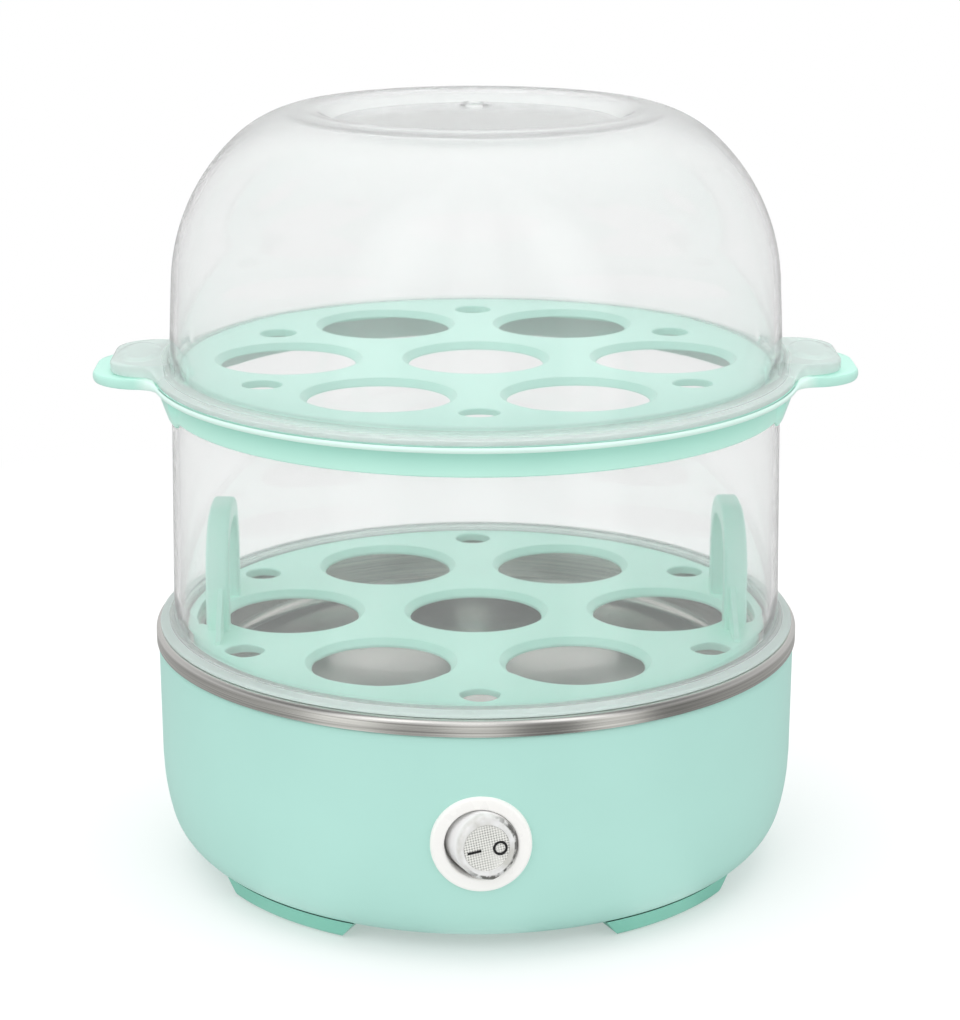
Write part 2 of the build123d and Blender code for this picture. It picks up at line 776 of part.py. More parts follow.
# ---------------------------------------------------------------- upper tray
flange_r = 79.4
step_r = 72.8
skirt_in_r = 74.78
skirt_out_r = 75.7
skirt_z = 115.9
ear_x = 93.4
ear_half_y = 16.5
ear_top_z = 124.7
ear_tip_r = 12.0
ear_root_r = 7.0
ear_rim_r = 0.65
lug_out_r = 77.6
lug_low_z = 114.6
lug_span = 38  # degrees


def ear_outline(disc_r, tip_x, half_y, tip_r):
    """A disc with a round-cornered ear to the right and to the left."""
    Circle(disc_r)
    RectangleRounded(2 * tip_x, 2 * half_y, tip_r)


with BuildPart() as tray_ears:
    with BuildSketch(Plane.XY.offset(tray_flange_z)):
        ear_outline(flange_r, ear_x, ear_half_y, ear_tip_r)
    extrude(amount=ear_top_z - tray_flange_z)
    roots = tray_ears.edges().filter_by(Axis.Z).filter_by(lambda e: abs(e.center().X) < flange_r)
    fillet(roots.filter_by(lambda e: abs(abs(e.center().Y) - ear_half_y) < 0.01), ear_root_r)
    rims = tray_ears.edges().filter_by(lambda e: abs(e.center().X) > 79.0 or e.length > 200)
    fillet(rims.group_by(Axis.Z)[-1] + rims.group_by(Axis.Z)[0], ear_rim_r)
    with BuildSketch(Plane.XY.offset(lid_flange_z)):
        Circle(flange_r - 0.2)
    extrude(amount=5.0, mode=Mode.SUBTRACT)

with BuildPart() as upper_tray:
    with BuildSketch(Plane.XZ):
        with BuildLine():
            Polyline(
                (0, upper_tray_z),
                (step_r - 0.6, upper_tray_z),
                (step_r, upper_tray_z - 0.6),
                (step_r, lid_flange_z),
                (flange_r - 1, lid_flange_z),
                (flange_r - 1, tray_flange_z),
                (skirt_out_r, tray_flange_z),
                (skirt_out_r - 0.1, skirt_z + 0.3),
                (skirt_out_r - 0.4, skirt_z),
                (skirt_in_r, skirt_z),
                (skirt_in_r, tray_flange_z),
                (step_r - tray_wall, tray_flange_z),
                (step_r - tray_wall, upper_tray_z - tray_wall),
                (0, upper_tray_z - tray_wall),
                (0, upper_tray_z),
            )
        make_face()
    revolve(axis=Axis.Z)
    add(tray_ears.part)
    with Locations((0, 0, tray_flange_z)):
        Cylinder(
            step_r - tray_wall,
            upper_tray_z - tray_wall - tray_flange_z,
            align=(Align.CENTER, Align.CENTER, Align.MIN),
            mode=Mode.SUBTRACT,
        )
    seats(upper_tray_z, 8.0, upper_steam_r)
    # Swelling of the skirt under each ear
    for angle in (0, 180):
        with BuildSketch(turned(angle - lug_span / 2)):
            with BuildLine():
                Polyline(
                    (skirt_out_r - 0.5, tray_flange_z + 0.4),
                    (lug_out_r, tray_flange_z + 0.4),
                    (lug_out_r - 0.2, 119.4),
                    (skirt_out_r, lug_low_z),
                    (skirt_out_r - 0.5, lug_low_z),
                    (skirt_out_r - 0.5, tray_flange_z + 0.4),
                )
            make_face()
        revolve(axis=Axis.Z, revolution_arc=lug_span)
save(upper_tray.part, "upper_tray")

# ---------------------------------------------------------------- lid
lid_foot_r = 75.0
lid_flange_r = 78.6
lid_shoulder = (73.85, 147.0)
lid_brow = (58.0, 180.5)
crest_r = 38.5
recess_r = 34.6
recess_z = 184.6
lid_ear_x = 88.8
lid_ear_half_y = 15.6
lid_ear_z = 124.9
lid_ear_top_z = 127.8
lid_ear_tip_r = 9.0
lid_ear_wall = 1.5
thumb_x = 82.2
vent_y = 27.0
vent_r = 2.6
vent_collar_r = 4.2


def lid_ears(inset, inner_r):
    """Both ears of the lid: a round-cornered bar across it, less a disc. The inset makes them smaller all round."""
    RectangleRounded(2 * (lid_ear_x - inset), 2 * (lid_ear_half_y - inset), lid_ear_tip_r - inset)
    Circle(inner_r, mode=Mode.SUBTRACT)


with BuildPart() as lid:
    with BuildSketch(Plane.XZ):
        with BuildLine():
            wall = Line((lid_foot_r, lid_flange_z + 0.4), lid_shoulder)
            shoulder = TangentArc(wall @ 1, lid_brow, tangent=wall % 1)
            brow = TangentArc(shoulder @ 1, (crest_r, crown_z), tangent=shoulder % 1)
            Polyline(brow @ 1, (recess_r, recess_z), (0, recess_z))
            offset(amount=lid_wall, side=Side.LEFT)
        make_face()
    revolve(axis=Axis.Z)
    crest = lid.edges().filter_by(GeomType.CIRCLE).sort_by(Axis.Z)[-1]
    fillet(crest, 3.5)
    # Flange with a sloping top
    with BuildSketch(Plane.XZ):
        with BuildLine():
            Polyline(
                (lid_foot_r - lid_wall, lid_flange_z),
                (lid_flange_r, lid_flange_z),
                (lid_flange_r, lid_flange_z + 1.0),
                (lid_foot_r + 0.3, lid_flange_z + 2.6),
                (lid_foot_r - lid_wall, lid_flange_z + 3.4),
                (lid_foot_r - lid_wall, lid_flange_z),
            )
        make_face()
    revolve(axis=Axis.Z)
    # Ears, hollow underneath, with a raised oval thumb rest
    with BuildSketch(Plane.XY.offset(lid_ear_z)):
        lid_ears(0, lid_foot_r - lid_wall / 2)
    extrude(amount=lid_ear_top_z - lid_ear_z)
    with BuildSketch(Plane.XY.offset(lid_ear_z)):
        lid_ears(lid_ear_wall, lid_flange_r + 0.8)
    extrude(amount=lid_ear_top_z - lid_ear_wall - lid_ear_z, mode=Mode.SUBTRACT)
    with BuildSketch(Plane.XY.offset(lid_ear_top_z)):
        with Locations((thumb_x, 0), (-thumb_x, 0)):
            Ellipse(5.0, 10.5)
    extrude(amount=0.6)
    # Steam vent near the back of the crown
    with Locations((0, vent_y, recess_z)):
        Cylinder(vent_collar_r, 0.8, align=(Align.CENTER, Align.CENTER, Align.MIN))
        Cylinder(vent_r, 8.0, mode=Mode.SUBTRACT)
save(lid.part, "lid")
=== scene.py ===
"""Looks of a two-tier electric egg cooker: base, steel pan, two trays, clear middle cover and clear lid.

Surfaces are worked out in millimetres. Z goes up from the table, the switch is at -Y, the ears at +X and -X.
"""

import json

import bmesh
import bpy
import numpy as np
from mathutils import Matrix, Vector, geometry


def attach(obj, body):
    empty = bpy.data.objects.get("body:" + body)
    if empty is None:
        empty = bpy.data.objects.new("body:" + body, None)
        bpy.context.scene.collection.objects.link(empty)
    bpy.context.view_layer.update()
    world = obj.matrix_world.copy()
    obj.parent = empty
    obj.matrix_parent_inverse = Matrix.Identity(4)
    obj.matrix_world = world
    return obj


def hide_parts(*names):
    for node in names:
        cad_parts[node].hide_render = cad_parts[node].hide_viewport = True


bl_info = {
    "name": "Egg cooker dressing",
    "version": (1, 0, 0),
    "blender": (4, 5, 0),
    "location": "View3D > Sidebar > Egg cooker",
    "description": "Builds the visible surfaces and finishes of a two-tier egg cooker around its CAD frame",
    "category": "Object",
}

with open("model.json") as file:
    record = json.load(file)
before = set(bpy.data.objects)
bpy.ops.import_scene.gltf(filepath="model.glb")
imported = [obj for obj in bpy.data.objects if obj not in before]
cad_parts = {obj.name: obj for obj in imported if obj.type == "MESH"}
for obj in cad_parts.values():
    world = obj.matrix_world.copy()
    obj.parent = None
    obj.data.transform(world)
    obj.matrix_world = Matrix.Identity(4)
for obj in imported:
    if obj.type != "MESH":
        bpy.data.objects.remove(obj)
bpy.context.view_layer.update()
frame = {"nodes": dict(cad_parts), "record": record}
MM = 0.001
WHITE = (1, 1, 1, 1)


# ------------------------------------------------------------------ sizes and colours a user can change


def length(name, description, default):
    """A length that a user can change, held in metres."""
    return bpy.props.FloatProperty(
        name=name, description=description, default=default, unit="LENGTH", precision=5
    )


def colour(name, description, r, g, b):
    """A colour that a user can change, as a screen shows it, from three values of 0 to 255."""
    return bpy.props.FloatVectorProperty(
        name=name,
        description=description,
        default=screen(r, g, b),
        subtype="COLOR_GAMMA",
        min=0,
        max=1,
        size=3,
    )


def screen(r, g, b):
    """Screen colour with each value as a share of 255."""
    return r / 255, g / 255, b / 255


class CookerSizes(bpy.types.PropertyGroup):
    """Sizes of the moulded and pressed pieces."""

    lid_wall: length("Clear wall", "Thickness of the lid and of the middle cover", 1.6 * MM)
    sheet: length("Pan sheet", "Thickness of the steel sheet", 0.8 * MM)
    seat_ring: length("Seat ring", "Radius of the ring of egg seats", 46.0 * MM)
    seat_hole: length("Seat hole", "Radius of an egg seat's hole", 16.5 * MM)
    seat_slope: length("Seat slope", "Width and depth of an egg seat's sloping edge", 1.5 * MM)
    steam_hole: length("Steam hole", "Radius of a steam hole", 4.6 * MM)
    recess: length("Crown recess", "Radius of the recess in the lid's crown", 34.6 * MM)


class CookerColours(bpy.types.PropertyGroup):
    """Colours of the finishes, as a screen shows them."""

    body: colour("Base", "Satin mint of the base", 180, 227, 216)
    tray: colour("Trays", "Light mint of both trays", 184, 237, 222)
    feet: colour("Feet", "Darker mint of the bottom cover", 137, 206, 187)
    steel: colour("Steel", "Brushed steel of the pan", 214, 213, 207)
    clear: colour("Clear plastic", "Tint of the lid and the middle cover", 247, 247, 247)
    white: colour("White plastic", "Switch bezel", 250, 249, 246)
    rocker: colour("Rocker", "Frosted clear rocker", 238, 237, 231)
    marks: colour("Marks", "Dash and ring on the rocker", 20, 20, 22)
    rubber: colour("Pads", "Rubber pads under the feet", 150, 156, 153)
    floor: colour("Floor", "Plain floor", 250, 250, 250)


def sizes():
    """The sizes as the scene holds them."""
    return bpy.context.scene.cooker_sizes


def colours():
    """The colours as the scene holds them."""
    return bpy.context.scene.cooker_colours


def linear(c):
    """Screen colour as the shader's linear colour: a straight part near black, then the power 2.4."""
    c = np.asarray(c, float)
    c = np.where(c <= 0.04045, c / 12.92, ((c + 0.055) / 1.055) ** 2.4)
    return (*c, 1.0)


# ------------------------------------------------------------------ places that more than one piece needs


SWITCH_Z, GLAND_Z = 30.9, 25.0

# The rocker hinges about PIVOT. Its own axes run across its face, along its hinge and out of its face
TILT, ROLL = np.radians(12.0), np.radians(9.5)
ACROSS = np.array([np.cos(TILT) * np.cos(ROLL), np.sin(TILT), np.cos(TILT) * np.sin(ROLL)])
HINGE = np.array([-np.sin(ROLL), 0, np.cos(ROLL)])
OUTWARD = np.array([np.sin(TILT) * np.cos(ROLL), -np.cos(TILT), np.sin(TILT) * np.sin(ROLL)])
PIVOT = np.array([0, -75.05, SWITCH_Z])
# Pitch of the waffle on its face
PITCH = 0.6


# ------------------------------------------------------------------ lines and surfaces


def full_turn(count):
    """Evenly spaced angles of one full turn."""
    return np.linspace(0, 2 * np.pi, count, endpoint=False)


def between(one, other, share):
    """The number at a share of the way from one to the other."""
    return one + (other - one) * share


def smooth(share):
    """Share from 0 to 1 with a level start and end: three times its square less twice its cube."""
    return 3 * share**2 - 2 * share**3


def turned(x, y, angle):
    """Flat point turned about the origin: x cos less y sin, beside x sin plus y cos."""
    return np.stack([x * np.cos(angle) - y * np.sin(angle), x * np.sin(angle) + y * np.cos(angle)], -1)


def rounded(points, radii, step=9.0):
    """Polyline whose inner corners are replaced by arcs of the given radii, a point for every few degrees.

    An arc's centre lies on the corner's bisector, at the radius over the sine of half the corner's angle. The
    arc starts before the corner by the radius over the tangent of that half angle.
    """
    nearly_straight = np.pi / 2 - 1e-3
    points = np.asarray(points, float)
    out = [points[:1]]
    for before, corner, after, radius in zip(points[:-2], points[1:-1], points[2:], radii):
        back = (before - corner) / np.linalg.norm(before - corner)
        on = (after - corner) / np.linalg.norm(after - corner)
        half = np.arccos(np.clip(back @ on, -1, 1)) / 2
        if radius <= 0 or half > nearly_straight:
            out.append(corner[None])
            continue
        centre = corner + (back + on) / np.linalg.norm(back + on) * radius / np.sin(half)
        start = corner + back * radius / np.tan(half) - centre
        turn = np.pi - 2 * half
        side = np.sign(back[0] * on[1] - back[1] * on[0])
        count = max(3, int(np.degrees(turn) / step) + 1)
        out.append(centre + turned(*start, np.linspace(0, turn, count) * -side))
    out.append(points[-1:])
    return held(np.concatenate(out))


def held(line, gap=0.3):
    """The line with a point close to both ends of each long stretch, so that its middle shades flat."""
    start, reach = line[:-1], np.diff(line, axis=0)
    span = np.linalg.norm(reach, axis=1)
    share = np.where(span > 4 * gap, gap / np.maximum(span, 1e-9), 0)[:, None]
    parts = np.stack([start, start + reach * share, start + reach * (1 - share)], 1)
    keep = np.stack([np.ones(len(span), bool), share[:, 0] > 0, share[:, 0] > 0], 1)
    return np.vstack([parts[keep], line[-1:]])


def even(line, count):
    """The same line with evenly spaced points: places read off by the length walked so far."""
    walked = np.concatenate([[0], np.cumsum(np.hypot(*np.diff(line, axis=0).T))])
    at = np.linspace(0, walked[-1], count)
    return np.column_stack([np.interp(at, walked, line[:, 0]), np.interp(at, walked, line[:, 1])])


def arc(centre, radius, start, stop, count):
    """Points on a circle from one angle to another, in degrees."""
    a = np.radians(np.linspace(start, stop, count))
    return np.stack([centre[0] + radius * np.cos(a), centre[1] + radius * np.sin(a)], 1)


def tangent_arc(start, heading, end, count):
    """Arc that leaves its start in a given direction and passes through its end, and its last heading.

    Its radius is the chord's square over twice the chord's part along the normal of the first heading.
    """
    start, end = np.asarray(start, float), np.asarray(end, float)
    heading = np.asarray(heading, float) / np.linalg.norm(heading)
    normal = np.array([-heading[1], heading[0]])
    chord = end - start
    radius = chord @ chord / (2 * chord @ normal)
    centre = start + normal * radius
    first, last = (np.arctan2(*(q - centre)[::-1]) for q in (start, end))
    turn = (last - first + np.pi) % (2 * np.pi) - np.pi
    line = arc(centre, abs(radius), np.degrees(first), np.degrees(first + turn), count)
    out = end - centre
    return line, np.array([-out[1], out[0]]) * np.sign(turn)


def ring(radius, z, azimuth, centre=(0.0, 0.0)):
    """Level loop: radius times cosine and sine of the azimuth. Radius and height may vary along it."""
    x, y = centre[0] + radius * np.cos(azimuth), centre[1] + radius * np.sin(azimuth)
    return np.stack([x, y, z + 0 * azimuth], 1)


def skin(loops, closed=False):
    """Quads between each loop and the next, round every loop. Closed joins the last loop to the first."""
    grid = np.stack(loops)
    rows, count = grid.shape[:2]
    index = np.arange(rows * count).reshape(rows, count)
    lower = index if closed else index[:-1]
    upper = np.roll(index, -1, 0) if closed else index[1:]
    quads = np.stack([lower, np.roll(lower, -1, 1), np.roll(upper, -1, 1), upper], 2).reshape(-1, 4)
    return grid.reshape(-1, 3), quads


def fan(loop, centre):
    """Triangles that close a loop over a point."""
    count = len(loop)
    i = np.arange(count)
    return np.vstack([loop, centre]), np.stack([i, np.roll(i, -1), np.full(count, count)], 1)


def lathe(profile, count=240):
    """The profile, as radius and height, carried round the vertical axis."""
    return [ring(r, z, full_turn(count)) for r, z in profile]


def lathe_y(profile, z, count=120):
    """The profile, as radius and Y, carried round a level axis along Y at a height."""
    angle = full_turn(count)
    return [np.column_stack([r * np.cos(angle), y + 0 * angle, z + r * np.sin(angle)]) for r, y in profile]


def plate(outer, holes, z):
    """Level sheet inside one loop and outside the others, triangulated between their points."""
    loops = [outer[:, :2]] + [h[:, :2] for h in holes]
    edges = []
    start = 0
    for loop in loops:
        i = np.arange(len(loop))
        edges += np.stack([start + i, start + np.roll(i, -1)], 1).tolist()
        start += len(loop)
    corners = [Vector(p) for p in np.concatenate(loops)]
    got = geometry.delaunay_2d_cdt(corners, edges, [], 1, 1e-7)
    flat = np.array([tuple(v) for v in got[0]])
    faces = np.array([list(f) for f in got[2]])
    middle = flat[faces].mean(1)
    keep = inside(middle, outer)
    for hole in holes:
        keep &= ~inside(middle, hole)
    return np.column_stack([flat, np.full(len(flat), z)]), faces[keep]


def inside(points, loop):
    """Whether each point is inside a loop: a ray to +X crosses its edges an odd number of times."""
    a, b = loop[None, :, :2], np.roll(loop, -1, 0)[None, :, :2]
    x, y = points[:, 0, None], points[:, 1, None]
    spans = (a[..., 1] > y) != (b[..., 1] > y)
    rise = np.where(spans, b[..., 1] - a[..., 1], 1.0)
    hit = a[..., 0] + (y - a[..., 1]) / rise * (b[..., 0] - a[..., 0])
    return (spans & (x < hit)).sum(1) % 2 == 1


class Shape:
    """Gathers surfaces in millimetres and makes one object of them."""

    def __init__(self):
        self.points, self.faces, self.size = [], [], 0

    def add(self, surface):
        """Take in a surface: its points, and its faces with their numbers moved past the earlier points."""
        points, faces = surface
        self.points.append(np.asarray(points, float))
        self.faces += (np.asarray(faces) + self.size).tolist()
        self.size += len(points)
        return self

    def add_bar(self, loops):
        """Skin over the loops, with a fan from the middle of its first loop and of its last."""
        self.add(skin(loops))
        for loop in (loops[0], loops[-1]):
            self.add(fan(loop, loop.mean(0)))
        return self

    def make(self, name, body, material, slot, replaces=(), angle=32):
        """Merge seams, turn faces outwards, shade smooth up to an angle and put the piece in the frame."""
        seam = 0.002 * MM
        mesh = bpy.data.meshes.new(name)
        mesh.from_pydata((np.concatenate(self.points) * MM).tolist(), [], self.faces)
        work = bmesh.new()
        work.from_mesh(mesh)
        bmesh.ops.remove_doubles(work, verts=work.verts, dist=seam)
        bmesh.ops.recalc_face_normals(work, faces=work.faces)
        work.to_mesh(mesh)
        work.free()
        mesh.shade_smooth()
        mesh.set_sharp_from_angle(angle=np.radians(angle))
        mesh.materials.append(material)
        piece = bpy.data.objects.new(name, mesh)
        bpy.context.scene.collection.objects.link(piece)
        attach(piece, body)
        if replaces:
            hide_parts(*replaces)
        return piece


def eared_outline(disc_r, tip_x, half_y, tip_r, root_r):
    """Disc with a rounded ear to the right and left: azimuth, distance from the axis and share of ear.

    One quarter runs from +Y to +X: the disc's arc, an arc of root_r that fairs it into the ear, the ear's
    corner of tip_r and its straight end. The fairing's centre lies where the circles of disc_r plus root_r
    about the disc and of tip_r plus root_r about the corner meet. The other quarters mirror the first.
    """
    corner = np.array([tip_x - tip_r, half_y - tip_r])
    reach_disc, reach_tip = disc_r + root_r, tip_r + root_r
    gap = np.hypot(*corner)
    along = (reach_disc**2 - reach_tip**2 + gap**2) / (2 * gap)
    across = np.sqrt(reach_disc**2 - along**2)
    unit = corner / gap
    root = unit * along + np.array([-unit[1], unit[0]]) * across
    leave = np.degrees(np.arctan2(root[1], root[0]))
    meet = np.degrees(np.arctan2(*(root - corner)[::-1]))
    disc_count, fair_count, tip_count, end_count = 52, 16, 18, 7
    disc = arc((0, 0), disc_r, 90, leave, disc_count)[:-1]
    fair = arc(root, root_r, leave - 180, meet - 180, fair_count)[:-1]
    tip = arc(corner, tip_r, meet, 0, tip_count)[:-1]
    end = np.stack([np.full(end_count, tip_x), np.linspace(corner[1], 0, end_count)], 1)
    share = np.concatenate([np.zeros(len(disc)), np.linspace(0, 1, len(fair)), np.ones(len(tip) + len(end))])
    quarter = np.column_stack([np.concatenate([disc, fair, tip, end]), share])
    right = np.concatenate([quarter, quarter[-2::-1] * (1, -1, 1)])
    x, y, ear = np.concatenate([right, right[-2:0:-1] * (-1, 1, 1)])[::-1].T
    return np.arctan2(y, x), np.hypot(x, y), smooth(ear)


class Rings:
    """Level loops round an eared outline, gathered in the order in which a skin joins them.

    Along the outline, reach is its distance from the axis, and ear goes from 0 on the disc to 1 on an ear.
    """

    def __init__(self, *measures):
        self.azimuth, self.reach, self.ear = eared_outline(*measures)
        self.loops = []

    def at(self, radius, z):
        """Add the loop at a radius and a height, each one number or one for every point of the outline."""
        self.loops.append(ring(radius, z, self.azimuth))


# ------------------------------------------------------------------ finishes


# Numbers of the Mix node's sockets: factor, one value, other value, result
MIX_SOCKETS = {"FLOAT": (0, 2, 3, 0), "RGBA": (0, 6, 7, 2)}


class Tree:
    """A node tree under construction. Each input is a plain value or another node's output."""

    def __init__(self, tree):
        self.nodes = tree.nodes
        self.links = tree.links

    def fill(self, target, value):
        """Link an output to the socket, or set the socket to the value."""
        if isinstance(value, bpy.types.NodeSocket):
            self.links.new(value, target)
        else:
            target.default_value = value

    def add(self, kind, **inputs):
        """New node. Its inputs are named in the call, with an underscore for each blank."""
        node = self.nodes.new("ShaderNode" + kind)
        for socket, value in inputs.items():
            self.fill(node.inputs[socket.replace("_", " ")], value)
        return node

    def operate(self, kind, operation, values):
        """Outputs of a new node that does one of several operations, its inputs filled in order."""
        node = self.add(kind)
        node.operation = operation
        for socket, value in zip(node.inputs, values):
            self.fill(socket, value)
        return node.outputs

    def math(self, operation, *values):
        """Result of an operation on numbers."""
        return self.operate("Math", operation, values)[0]

    def vector(self, operation, *values):
        """Outputs of an operation on vectors: Vector or Value, whichever it gives."""
        return self.operate("VectorMath", operation, values)

    def times(self, first, *others):
        """Product of all the values."""
        for other in others:
            first = self.math("MULTIPLY", first, other)
        return first

    def ramp(self, factor, low, high, start=0.0, end=1.0):
        """Number that goes from low to high in a straight line while the factor goes from start to end."""
        node = self.add("MapRange", Value=factor, From_Min=start, From_Max=end, To_Min=low, To_Max=high)
        return node.outputs["Result"]

    def rise(self, distance, start, end, low=0.0, high=1.0):
        """Ramp over a distance whose start and end are given in millimetres."""
        return self.ramp(distance, low, high, start * MM, end * MM)

    def blend(self, factor, one, other, kind="RGBA"):
        """Mix of two colours, or of two numbers: one where the factor is 0, the other where it is 1."""
        node = self.add("Mix")
        node.data_type = kind
        *sockets, result = MIX_SOCKETS[kind]
        for socket, value in zip(sockets, (factor, one, other)):
            self.fill(node.inputs[socket], value)
        return node.outputs[result]


class Finish(Tree):
    """A procedural material under construction, with its Principled shader and the piece's coordinates."""

    def __init__(self, name):
        self.material = bpy.data.materials.new(name)
        self.material.use_nodes = True
        super().__init__(self.material.node_tree)
        self.shader = self.nodes["Principled BSDF"]
        self.place = self.add("TexCoord").outputs["Object"]

    def set(self, **values):
        """Set inputs of the shader, named as in add."""
        for socket, value in values.items():
            self.shader.inputs[socket.replace("_", " ")].default_value = value
        return self

    def feed(self, socket, value):
        """Link an output to an input of the shader."""
        self.links.new(value, self.shader.inputs[socket])
        return self

    def stretched(self, x, y, z):
        """The piece's place, stretched along its axes."""
        node = self.add("Mapping", Vector=self.place)
        node.inputs["Scale"].default_value = (x, y, z)
        return node.outputs["Vector"]

    def noise(self, scale, detail=3.0, place=None):
        """Cloudy noise from 0 to 1, with so many swings to a metre."""
        node = self.add("TexNoise", Vector=place or self.place, Scale=scale, Detail=detail)
        return node.outputs["Fac"]

    def polar(self):
        """The place's distance from the vertical axis and its height."""
        x, y, z = self.add("SeparateXYZ", Vector=self.place).outputs
        level = self.add("CombineXYZ", X=x, Y=y)
        return self.vector("LENGTH", level.outputs[0])["Value"], z

    def bump(self, height, strength, distance):
        """Tilt the shading by the slope of a height."""
        node = self.add("Bump", Height=height, Strength=strength, Distance=distance)
        return self.feed("Normal", node.outputs["Normal"])

    def cover(self, factor, other):
        """Show another shader in place of the finish's own where the factor is 1."""
        mix = self.nodes.new("ShaderNodeMixShader")
        for socket, value in zip(mix.inputs, (factor, self.shader.outputs[0], other)):
            self.links.new(value, socket)
        self.links.new(mix.outputs[0], self.nodes["Material Output"].inputs["Surface"])


def shade(c, amount):
    """A darker or lighter version of a screen colour, linear."""
    base = np.array(linear(c)[:3]) * amount
    return (*np.clip(base, 0, 1), 1.0)


def moulded(name, c, roughness, paint_light=None):
    """Moulded plastic: cloudy colour variation, an uneven polish and a fine spark-eroded grain."""
    spread, grain_depth = 0.03, 0.02 * MM
    f = Finish(name).set(Roughness=roughness, Specular_IOR_Level=0.5, IOR=1.49)
    base = f.blend(f.noise(35.0, 4.0), shade(c, 1 - spread), shade(c, 1 + spread))
    # paint_light, where given, paints light and shade into the colour; the trays use it
    f.feed("Base Color", paint_light(f, base) if paint_light else base)
    f.feed("Roughness", f.ramp(f.noise(220.0, 2.0), roughness - 0.04, roughness + 0.05))
    return f.bump(f.noise(2600.0, 2.0), 0.25, grain_depth).material


def clear_plastic(name):
    """Clear moulded plastic that lets the lamps through, with faint flow lines.

    In the flanges, the ears, the feet of the walls and the crown it is thicker, softer and milkier. Each of
    these is a range of heights or of distances from the axis.
    """
    f = Finish(name).set(IOR=1.46, Coat_Roughness=0.06)
    c = colours().clear
    radius, height = f.polar()
    cover_foot = f.rise(height, 61.8, 63.2, 0.6, 0.0)
    lid_foot = f.times(f.rise(height, 122.5, 123.5, 0.0, 0.6), f.rise(height, 125.5, 127.5, 1.0, 0.0))
    feet = f.math("MAXIMUM", cover_foot, lid_foot)
    flange = f.math("MAXIMUM", feet, f.rise(radius, 75.7, 77.2))
    crown = f.rise(height, 174, 186)
    # The middle cover is a little clearer than the lid
    wall = f.blend(f.rise(height, 122.3, 123.5), shade(c, 1.045), linear(c))
    f.feed("Base Color", f.blend(flange, wall, linear(np.array(c) * (0.945, 0.995, 0.98))))
    milk = f.math("ADD", f.ramp(flange, 0, 0.42), f.ramp(crown, 0.08, 0.18))
    f.feed("Transmission Weight", f.math("SUBTRACT", 1.0, milk))
    f.feed("Coat Weight", f.ramp(flange, 0, 0.7))
    soft = f.math("ADD", f.ramp(flange, 0, 0.34), f.ramp(crown, 0, 0.14))
    f.feed("Roughness", f.math("ADD", soft, f.ramp(f.noise(90.0, 3.0), 0.015, 0.05)))
    f.bump(f.noise(14.0, 2.0, f.stretched(1, 1, 0.35)), 0.1, 0.2 * MM)
    see_through = f.add("BsdfTransparent", Color=(0.985, 0.99, 0.99, 1))
    f.cover(f.add("LightPath").outputs["Is Shadow Ray"], see_through.outputs[0])
    return f.material


def from_pivot(f, direction, unit=1.0):
    """Distance of the place from the rocker's pivot along a direction, in a unit of so many millimetres.

    It is the dot product of the way from the pivot and the direction.
    """
    away = f.vector("SUBTRACT", f.place, PIVOT * MM)["Vector"]
    return f.vector("DOT_PRODUCT", away, direction / (unit * MM))["Value"]


def clear_rocker(name):
    """Clear plastic of the rocker: paler and darker streaks at random under a bright polish.

    The flank is painted white, painted light for the light that comes through the clear plastic. The edge
    that faces down and to the right gets a dark line, painted shade for the gap to the bezel: the edge lies
    outside an ellipse about the pivot, and the noise breaks it up.
    """
    f = Finish(name).set(IOR=1.5, Transmission_Weight=0.15)
    c = colours().rocker
    across, along, out = (from_pivot(f, direction) for direction in (ACROSS, HINGE, OUTWARD))
    tone = f.blend(f.ramp(f.noise(260.0, 3.0), 0, 1, 0.35, 0.65), shade(c, 0.86), shade(c, 1.3))
    # Painted light: the flank is made white up to 5.8 mm out from the pivot, fading out by 6.9 mm
    tone = f.blend(f.ramp(out, 1, 0, 5.8, 6.9), tone, WHITE)
    # Painted shade: a dark broken line on the edge that faces down and to the right, for the gap to the bezel
    squared = f.math("ADD", f.times(across, across), f.times(along, along, 0.85))
    edge = f.times(f.ramp(squared, 0, 1, 37.0, 40.5), f.ramp(out, 0, 1, 6.0, 6.6))
    side = f.ramp(f.math("SUBTRACT", across, f.times(along, 0.8)), 0, 1, -4.0, 3.0)
    gap_shade_breaks = f.ramp(f.noise(700.0, 2.0), 0.25, 1, 0.4, 0.55)
    f.feed("Base Color", f.blend(f.times(edge, side, gap_shade_breaks), tone, shade(c, 0.16)))
    f.feed("Roughness", f.ramp(f.noise(400.0), 0.04, 0.12))
    return f.bump(f.noise(260.0), 0.1, 0.05 * MM).material


def waffle_clear(name):
    """Waffled face of the rocker: half clear, with painted light on its peaks and painted shade in its
    grooves.

    The distance to the nearest groove is a triangle wave along both directions of the face.
    """
    f = Finish(name).set(IOR=1.5, Transmission_Weight=0.15, Roughness=0.15)
    waves = [f.math("PINGPONG", from_pivot(f, direction, PITCH), 0.5) for direction in (ACROSS, HINGE)]
    c = colours().rocker
    # Painted light and shade: lighter peaks and darker grooves, the groove shade fainter in random patches
    peak_light = f.ramp(f.math("ADD", *waves), 0, 1, 0.1, 0.65)
    fainter_groove_shade = f.ramp(f.noise(170.0, 1.0), 0, 0.8, 0.35, 0.65)
    f.feed("Base Color", f.blend(f.math("MAXIMUM", peak_light, fainter_groove_shade), shade(c, 0.42), shade(c, 1.2)))
    return f.bump(f.noise(2500.0), 0.1, 0.02 * MM).material


